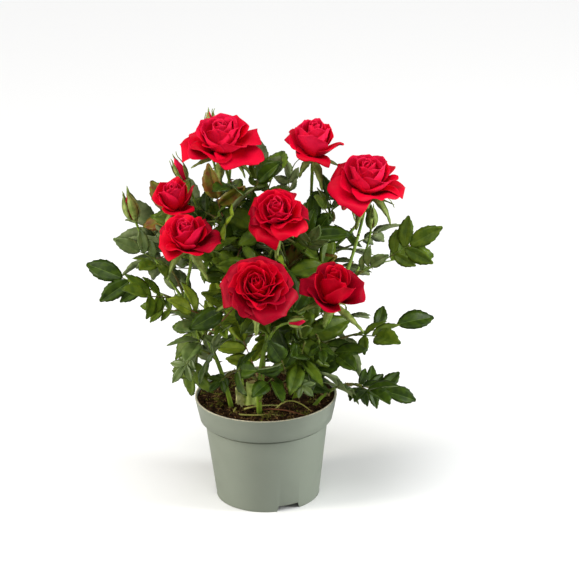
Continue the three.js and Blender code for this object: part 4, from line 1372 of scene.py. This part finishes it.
# The rest, each with the scale of its patches, roughness, bump and scale of its grain, then its
# specular level, the weight of its coarser grain and the spread of its patches where they differ
OTHER_LOOKS = {
    "sepal_green": ((0.27, 0.34, 0.08), (0.13, 0.19, 0.03), 240, 0.55, 0.2, 800, 0.2),
    "stem_green": ((0.22, 0.34, 0.035), (0.11, 0.19, 0.016), 90, 0.45, 0.3, 500, 0.25),
    "runner_green": ((0.5, 0.48, 0.12), (0.3, 0.32, 0.06), 120, 0.5, 0.2, 500),
    "twig_green": ((0.13, 0.2, 0.03), (0.11, 0.08, 0.02), 110, 0.5, 0.3, 500, 0.2),
    "young_twig": ((0.24, 0.085, 0.03), (0.14, 0.045, 0.015), 110, 0.45, 0.2, 500),
    "prickle": ((0.3, 0.13, 0.06), (0.2, 0.16, 0.05), 200, 0.4, 0.1, 400),
    "cane_bark": ((0.22, 0.33, 0.025), (0.1, 0.17, 0.012), 60, 0.5, 0.4, 420, 0.2),
    # The stubs' woods, paler than the wood itself: painted light against the foliage's shade
    "old_wood": ((0.92, 0.88, 0.42), (0.36, 0.42, 0.1), 190, 0.75, 0.8, 380, 0.2),
    "green_wood": ((0.55, 0.66, 0.17), (0.26, 0.36, 0.06), 140, 0.6, 0.5, 380, 0.2),
    "cut_wood": ((0.6, 0.5, 0.22), (0.3, 0.22, 0.08), 220, 0.8, 0.4, 420, 0.1),
    "pot_plastic": ((0.235, 0.262, 0.212), (0.222, 0.248, 0.2), 26, 0.45, 0.06, 1400, 0.3),
    # The rim's paler top: some dirt, and a painted highlight
    "worn_rim": ((0.8, 0.73, 0.53), (0.5, 0.47, 0.37), 300, 0.6, 0.2, 900),
    "peat": ((0.07, 0.032, 0.013), (0.014, 0.007, 0.003), 240, 0.95, 1.0, 420, 0.1, 0.5, (0.42, 0.58)),
    "peat_crumb": ((0.07, 0.034, 0.014), (0.016, 0.008, 0.004), 420, 0.9, 0.8, 600, 0.1),
    "fibre": ((0.4, 0.24, 0.08), (0.2, 0.11, 0.03), 300, 0.8, 0.3, 500),
    "moss": ((0.2, 0.19, 0.03), (0.07, 0.08, 0.012), 500, 0.8, 0.3, 800, 0.1),
}
PETAL_FINISHES, LEAF_FINISHES = list(PETAL_TONES), list(LEAF_LOOKS)
for label, tones in PETAL_TONES.items():
    add_finish(
        label, *tones, scale=90, roughness=0.5, bump=0.12, grain_scale=900, level=0.08,
        coarse=0.8, patches=(0.25, 0.75), sheen=VELVET,
    )
for label, (light, dark, roughness, level) in LEAF_LOOKS.items():
    add_finish(
        label, light, dark, scale=160, roughness=roughness, bump=0.25, grain_scale=700,
        level=level, coarse=1.2,
    )
for label, look in OTHER_LOOKS.items():
    add_finish(label, *look)


# Canes, stubs, compost and pot

def build_canes():
    for k, (name, *_) in enumerate(CANES):
        build_stem(
            name, "bark", "cane_bark", 60 + k, sides=12, prickles=12, hairs=0,
            bark="cane_bark", stands_for=[name], slim=0.8,
        )


def deselect():
    if bpy.context.object and bpy.context.object.mode != "OBJECT":
        bpy.ops.object.mode_set(mode="OBJECT")
    bpy.ops.object.select_all(action="DESELECT")


def select_only(piece):
    deselect()
    piece.select_set(True)
    bpy.context.view_layer.objects.active = piece


def settle(piece):
    """Puts a modelled piece's place into its mesh."""
    select_only(piece)
    bpy.ops.object.transform_apply(location=True, rotation=True, scale=True)


def select_end_face(pot, lowest_or_highest):
    """Leaves the pot in edit mode with one of its end faces selected."""
    bpy.ops.object.mode_set(mode="EDIT")
    bpy.ops.mesh.select_mode(type="FACE")
    bpy.ops.mesh.select_all(action="DESELECT")
    bpy.ops.object.mode_set(mode="OBJECT")
    lowest_or_highest(pot.data.polygons, key=lambda face: face.center.z).select = True
    bpy.ops.object.mode_set(mode="EDIT")


def extrude_face(rise):
    bpy.ops.mesh.extrude_region_move(TRANSFORM_OT_translate={"value": (0, 0, rise * MM)})


def extrude_ring(rise, grow_by):
    """Extrudes the selected face up and scales it about the pot's axis."""
    extrude_face(rise)
    bpy.ops.transform.resize(value=(grow_by, grow_by, 1))


def pot_rings():
    """Height and radius of each ring up the outside, over the lip and down the inside."""
    foot, shoulder, band, lip, wall = (POT[k] for k in ("foot", "shoulder", "band", "lip", "wall"))
    ledge, top = POT["shoulder_height"], POT["height"]
    return [
        (mix(2, ledge, 0.5), mix(foot, shoulder, 0.5)),
        (ledge - 2.6, shoulder - 0.3),
        (ledge - 2.5, shoulder - 1.4),
        (ledge + 0.2, shoulder - 1.4),
        (ledge + 0.3, band - 0.9),
        (ledge + 1.2, band),
        (mix(ledge, top, 0.5), mix(band, lip, 0.52)),
        (top - 2.4, lip - 0.3),
        (top - 1.2, lip),
        (top - 0.3, lip - 0.15),
        (top, lip - 0.6),
        (top, lip - wall + 0.4),
        (top - 0.5, lip - wall),
        (ledge + 2, band - wall),
        (ledge - 1, shoulder - wall - 0.6),
        (POT["floor"] + wall, foot - wall + 0.3),
    ]


# The pot's facets and the disc that it is drawn up from, how its edges are rounded, the angle in
# degrees past which they stay sharp, and how far down its rim's top is paler: some dirt and a painted
# highlight
POT_FACETS, POT_DISC = 128, 2.0
POT_EDGE = {"width": 0.35, "rounded_from": 38, "sharp_from": 35}
RIM_DIRT_AND_HIGHLIGHT_DOWN = 0.7


def build_pot():
    deselect()
    foot = POT["foot"]
    bpy.ops.mesh.primitive_cylinder_add(
        vertices=POT_FACETS, radius=foot * MM, depth=POT_DISC * MM, location=(0, 0, POT_DISC / 2 * MM)
    )
    pot = bpy.context.object
    pot.name = "pot_shell"
    pot.data.name = "pot_shell"
    bpy.ops.object.transform_apply(location=True)
    select_end_face(pot, max)
    height, radius = POT_DISC, foot
    for ring_height, ring_radius in pot_rings():
        extrude_ring(ring_height - height, ring_radius / radius)
        height, radius = ring_height, ring_radius
    # the recess under the floor, inside the foot ring
    select_end_face(pot, min)
    extrude_ring(0, (foot - POT["wall"]) / foot)
    extrude_face(POT["floor"])
    bpy.ops.object.mode_set(mode="OBJECT")
    for k in range(NOTCH["count"]):
        turn = math.radians(NOTCH["first"] + 360 / NOTCH["count"] * k)
        cut_pot(pot, notch_cutter(turn))
        cut_pot(pot, drain_cutter(turn))
    soften = pot.modifiers.new("soften", "BEVEL")
    soften.width = POT_EDGE["width"] * MM
    soften.segments = 2
    soften.limit_method = "ANGLE"
    soften.angle_limit = math.radians(POT_EDGE["rounded_from"])
    select_only(pot)
    bpy.ops.object.modifier_apply(modifier="soften")
    bpy.ops.object.shade_smooth_by_angle(angle=math.radians(POT_EDGE["sharp_from"]))
    for label in ("pot_plastic", "worn_rim"):
        pot.data.materials.append(MATERIALS[label])
    # The top of the rim is paler: some dirt, and a painted highlight
    for face in pot.data.polygons:
        if face.center.z > (POT["height"] - RIM_DIRT_AND_HIGHLIGHT_DOWN) * MM:
            face.material_index = 1
    dress(pot, ["pot"])


def cut_pot(pot, cutter):
    cut = pot.modifiers.new("cut", "BOOLEAN")
    cut.operation = "DIFFERENCE"
    cut.solver = "EXACT"
    cut.object = cutter
    select_only(pot)
    bpy.ops.object.modifier_apply(modifier="cut")
    bpy.data.objects.remove(cutter)


def around_foot(reach, turn, height):
    return reach * MM * math.sin(turn), -reach * MM * math.cos(turn), height * MM


def notch_cutter(turn):
    """A block with sloping ends at the foot ring, narrower at its top."""
    deselect()
    bpy.ops.mesh.primitive_cube_add(size=1, location=around_foot(POT["foot"], turn, 2))
    cutter = bpy.context.object
    wide = NOTCH["width"] + 0.6
    cutter.scale = (wide * MM, 12 * MM, (NOTCH["height"] + 1) * MM)
    cutter.rotation_euler = (0, 0, turn)
    bpy.ops.object.transform_apply(location=False, rotation=False, scale=True)
    for corner in cutter.data.vertices:
        if corner.co.z > 0:
            corner.co.x *= NOTCH["top_width"] / wide
    settle(cutter)
    return cutter


def drain_cutter(turn):
    deselect()
    bpy.ops.mesh.primitive_cylinder_add(
        vertices=32, radius=DRAIN["radius"] * MM, depth=8 * MM,
        location=around_foot(DRAIN["from_axis"], turn, POT["floor"]),
    )
    cutter = bpy.context.object
    settle(cutter)
    return cutter


# The compost's mesh, how far its edge stays inside the pot's wall in mm, and how it rises to the edge
COMPOST_RINGS, COMPOST_SIDES, COMPOST_INSET, COMPOST_RISE = 44, 132, 0.5, 2.4


def peat_relief(x, y):
    """The coarse lumps of the compost's surface, in mm."""
    return 1.5 * noise.fractal(Vector((x, y, 3)) * 0.16, 0.8, 2.2, 5)


def build_compost():
    """The peat fill: a disc in rings, lumpy on top, over a plain tapered plug."""
    inner = POT["wall"] + COMPOST_INSET
    rings, sides = COMPOST_RINGS, COMPOST_SIDES
    edge = POT["lip"] - POT["wall"] - COMPOST_INSET
    points = [vec(0, 0, compost_height(0, 0))]
    for i in range(1, rings + 1):
        for k in range(sides):
            a = TURN * k / sides
            r = edge * i / rings
            x, y = r * math.cos(a), r * math.sin(a)
            lumps = peat_relief(x, y) + 0.5 * noise.noise(Vector((x, y, 9)) * 0.9)
            rise = COMPOST_RISE * (i / rings) ** 3
            top = compost_height(x, y) + rise + lumps * (1 - (i / rings) ** 8)
            points.append(vec(x, y, min(POT["height"] - 0.6, top)))
    plug = (
        (POT["shoulder_height"] + 2, POT["band"] - inner),
        (POT["shoulder_height"] - 2, POT["shoulder"] - inner - 0.9),
        (POT["floor"] + inner, POT["foot"] - inner),
    )
    for z, r in plug:
        for k in range(sides):
            a = TURN * k / sides
            points.append(vec(r * math.cos(a), r * math.sin(a), z))
    faces = [[0, 1 + k, 1 + (k + 1) % sides] for k in range(sides)]
    last = rings + len(plug) - 1
    for i in range(last):
        for k in range(sides):
            n = (k + 1) % sides
            a, b = 1 + i * sides, 1 + (i + 1) * sides
            faces.append([a + k, b + k, b + n, a + n])
    faces.append([1 + last * sides + k for k in range(sides)][::-1])
    forms = Forms()
    forms.add(points, faces)
    forms.piece("compost_fill", ["peat"], "compost", ["compost"])


def surface_height(x, y):
    rise = COMPOST_RISE * min(1.0, math.hypot(x, y) / COMPOST["edge"]) ** 3
    return compost_height(x, y) + rise + peat_relief(x, y)


def random_place(draw, low=0.0):
    """A place on the compost, outside a share of its area."""
    r = (COMPOST["edge"] - 0.8) * math.sqrt(mix(low, 1.0, draw()))
    a = draw() * TURN
    return r * math.cos(a), r * math.sin(a)


# How many crumbs and fibres lie on the compost, patches of moss, and shoots in each patch
CRUMBS, FIBRES, MOSS_PATCHES, MOSS_SHOOTS = 1500, 420, 60, 26


def build_crumbs(draw):
    crumbs = Forms()
    base = np.array([[1, 0, 0], [0, 1, 0], [-1, 0, 0], [0, -1, 0], [0, 0, 1], [0, 0, -1]], float)
    faces = [[0, 1, 4], [1, 2, 4], [2, 3, 4], [3, 0, 4], [1, 0, 5], [2, 1, 5], [3, 2, 5], [0, 3, 5]]
    for _ in range(CRUMBS):
        x, y = random_place(draw)
        size = mix(0.35, 1.5, draw() ** 2.2)
        shape = np.array([mix(0.6, 1.3, draw()) for _ in base])
        turn = axis_frame(unit(vec(draw() - 0.5, draw() - 0.5, draw() - 0.3)), draw() * 6)
        top = min(surface_height(x, y) + size * 0.3, POT["height"] - 0.9)
        crumbs.add((base * shape[:, None] * size) @ turn + vec(x, y, top), faces)
    crumbs.piece("compost_crumbs", ["peat_crumb"], "compost", smooth_faces=False)


def build_fibres(draw):
    fibres = Forms()
    for _ in range(FIBRES):
        x, y = random_place(draw)
        a = draw() * TURN
        length = mix(2.0, 9.0, draw() ** 2)
        bend = mix(-0.8, 0.8, draw())
        spots = []
        for k in range(5):
            s = (k / 4 - 0.5) * length
            px = x + s * math.cos(a + bend * k / 4)
            py = y + s * math.sin(a + bend * k / 4)
            scale = min(1.0, (COMPOST["edge"] - 0.5) / max(1.0, math.hypot(px, py)))
            px, py = px * scale, py * scale
            top = surface_height(px, py) + 0.4 + 0.5 * math.sin(k * 1.4)
            spots.append(vec(px, py, min(top, POT["height"] - 0.3)))
        fibres.add(*tube(spots, [0.1, 0.17, 0.2, 0.17, 0.08], 4))
    fibres.piece("compost_fibres", ["fibre"], "compost")


def build_moss(draw):
    moss = Forms()
    for _ in range(MOSS_PATCHES):
        cx, cy = random_place(draw, 0.35)
        for _ in range(MOSS_SHOOTS):
            x, y = cx + mix(-5, 5, draw()) * draw(), cy + mix(-5, 5, draw()) * draw()
            if math.hypot(x, y) > COMPOST["edge"] - 1:
                continue
            foot = vec(x, y, surface_height(x, y) - 0.2)
            way = unit(vec(draw() - 0.5, draw() - 0.5, 0.9))
            side = unit(np.cross(way, vec(0.2, 1, 0)))
            height = mix(0.8, 2.0, draw())
            spine = [foot, foot + way * height * 0.5, foot + way * height]
            moss.add(*blade(spine, [side] * 3, [0.32, 0.4, 0.05], [np.cross(way, side)] * 3, 0.18))
    moss.piece("compost_moss", ["moss"], "compost")


# A stub's outline: place along it and radius as shares of its own, up the bark, over the cut's edge
# and down into the cut top
STUB_PROFILE = (
    (0, 1.75), (0.14, 1.5), (0.32, 1.22), (0.55, 1.12), (0.8, 1.14), (0.95, 1.1),
    (1.0, 0.92), (0.985, 0.7), (0.94, 0.12),
)
STUB_SIDES, STUB_CUT_RINGS = 16, 2
# Finishes of the stubs, painted paler than their wood as painted light in the foliage's shade
STUB_WOOD = {"cut_stub_left": "old_wood", "cut_stub_middle": "green_wood"}


def build_stubs():
    """Old cut wood: a rough stump whose cut top is sunk a little inside its bark."""
    for name, _, _, _, radius, _ in STUBS:
        curve = limbs[name]["curve"]
        draw = seeded(int(radius * 100))
        bumps = [mix(0.74, 1.16, draw()) for _ in range(STUB_SIDES)]
        points = []
        for t, share in STUB_PROFILE:
            spot = mix(curve.at(0), curve.at(1), t)
            for k, bump in enumerate(bumps):
                a = TURN * k / STUB_SIDES
                r = radius * share * mix(1.0, bump, 1 - abs(2 * t - 1) * 0.5)
                points.append(spot + vec(r * math.cos(a), r * math.sin(a), 0.4 * math.sin(a * 2) * (t > 0.9)))
        faces = ring_faces(len(STUB_PROFILE), STUB_SIDES)
        cut_from = len(faces) - 1 - STUB_CUT_RINGS * STUB_SIDES
        forms = Forms()
        forms.add(points, faces, [int(i >= cut_from) for i in range(len(faces))])
        forms.piece(f"{name}_wood", [STUB_WOOD[name], "cut_wood"], "old_wood", [name])


# Thin runners that lie on the compost: four points (x, y, height above it), radius, finish
RUNNERS = [
    ((-25, -24, 0.5), (-34, -46, 1), (0, -44, 3), (12, -40, 0.5), 0.8, 0),
    ((-3, -36, 3), (16, -38, 7), (26, -46, 4), (34, -42, 0.5), 0.6, 1),
    ((8, -30, 0.5), (18, -24, 9), (28, -26, 6), (38, -34, 0.5), 0.6, 0),
    ((-18, -30, 0.5), (-8, -34, 6), (4, -30, 5), (10, -22, 0.5), 0.7, 0),
]


def build_runners():
    runners = Forms()
    for *points, radius, kind in RUNNERS:
        curve = Curve(*((x, y, compost_height(x, y) + 0.8 + up) for x, y, up in points))
        spots = [curve.at(t) for t in np.linspace(0, 1, 18)]
        runners.add(*tube(spots, np.linspace(radius * 1.15, radius * 0.7, 18), 7), kind)
    runners.piece("compost_runners", ["runner_green", "young_twig"], "cane_bark")


# Stage, lights and camera

def show_camera(tree, lit, seen, output):
    """Lets the camera see one shader, while another lights the scene."""
    ray = add_node(tree, "LightPath")
    choose = add_node(tree, "MixShader")
    wire(tree, [
        (ray, "Is Camera Ray", choose, "Fac"),
        (lit, 0, choose, 1),
        (seen, 0, choose, 2),
        (choose, "Shader", tree.nodes[output], "Surface"),
    ])


def build_stage():
    deselect()
    bpy.ops.mesh.primitive_plane_add(size=12, location=(0, 0, -0.0002))
    floor = bpy.context.object
    floor.name = "floor"
    material = bpy.data.materials.new("pale_floor")
    material.use_nodes = True
    tree = material.node_tree
    shader = tree.nodes["Principled BSDF"]
    shader.inputs["Base Color"].default_value = (0.95, 0.95, 0.95, 1)
    shader.inputs["Roughness"].default_value = 0.8
    shader.inputs["Specular IOR Level"].default_value = 0.1
    # the floor throws back less light on the plant than it shows
    thrown_back = add_node(tree, "BsdfDiffuse", {"Color": (0.5, 0.5, 0.5, 1)})
    show_camera(tree, thrown_back, shader, "Material Output")
    floor.data.materials.append(material)


def place_lamp(name, lamp, place, turn):
    holder = bpy.data.objects.new(name, lamp)
    holder.location = place
    holder.rotation_euler = turn
    bpy.context.scene.collection.objects.link(holder)


# The room's light, and the key's power, with its breadth and turn in degrees
ROOM_LIGHT = 0.34
KEY = {"power": 2.05, "breadth": 45, "turn": (23, 0, -24)}
# The boxes at the sides: width, height and what they aim at in metres, then place, power and colour
BOX_WIDTH, BOX_HEIGHT, BOX_AIM = 0.35, 1.1, (0, 0, 0.17)
SIDE_BOXES = (
    ("left_box", (-1.2, -0.3, 0.3), 17, (1, 0.95, 0.84)),
    ("right_box", (1.2, -0.25, 0.3), 20, (0.97, 1, 0.98)),
)


def add_side_box(name, place, power, colour):
    lamp = bpy.data.lights.new(name, "AREA")
    lamp.shape = "RECTANGLE"
    lamp.size, lamp.size_y = BOX_WIDTH, BOX_HEIGHT
    lamp.energy = power
    lamp.color = colour
    way = Vector(BOX_AIM) - Vector(place)
    place_lamp(name, lamp, place, way.to_track_quat("-Z", "Y").to_euler())


def build_lights():
    """A white room that lights the plant softly, a broad key from above and a box at each side."""
    world = bpy.data.worlds.new("white_room")
    world.use_nodes = True
    tree = world.node_tree
    room = tree.nodes["Background"]
    room.inputs["Color"].default_value = (1, 1, 1, 1)
    room.inputs["Strength"].default_value = ROOM_LIGHT
    show_camera(tree, room, add_node(tree, "Background", {"Color": (1, 1, 1, 1)}), "World Output")
    bpy.context.scene.world = world
    key = bpy.data.lights.new("key", "SUN")
    key.energy = KEY["power"]
    key.angle = math.radians(KEY["breadth"])
    place_lamp("key", key, (0, 0, 0), [math.radians(angle) for angle in KEY["turn"]])
    for box in SIDE_BOXES:
        add_side_box(*box)


# Elevation and roll in degrees, distance and aim in metres, lens in mm
CAMERA = {"elevation": 21.13, "distance": 2.2, "aim": (0.0217, 0, 0.1836), "lens": 164.4, "roll": 1.14}


def build_camera():
    data = bpy.data.cameras.new("camera")
    data.sensor_width = 36
    data.lens = CAMERA["lens"]
    camera = bpy.data.objects.new("camera", data)
    tilt = math.radians(CAMERA["elevation"])
    back = Vector((0, -math.cos(tilt), math.sin(tilt)))
    camera.location = Vector(CAMERA["aim"]) + back * CAMERA["distance"]
    camera.rotation_mode = "QUATERNION"
    level = (-back).to_track_quat("-Z", "Y")
    camera.rotation_quaternion = level @ Quaternion((0, 0, 1), -math.radians(CAMERA["roll"]))
    bpy.context.scene.collection.objects.link(camera)
    bpy.context.scene.camera = camera
    bpy.context.scene.view_settings.view_transform = "Standard"


build_camera()
build_stage()
build_lights()
lay_out_limbs()
build_pot()
build_compost()
litter_draw = seeded(501)
build_crumbs(litter_draw)
build_fibres(litter_draw)
build_moss(litter_draw)
build_stubs()
build_runners()
build_canes()
grow_foliage()
for bloom in BLOOMS:
    build_bloom(bloom)
for bud in BUDS:
    build_bud(bud)
for shoot in SHOOTS:
    build_mass(shoot)
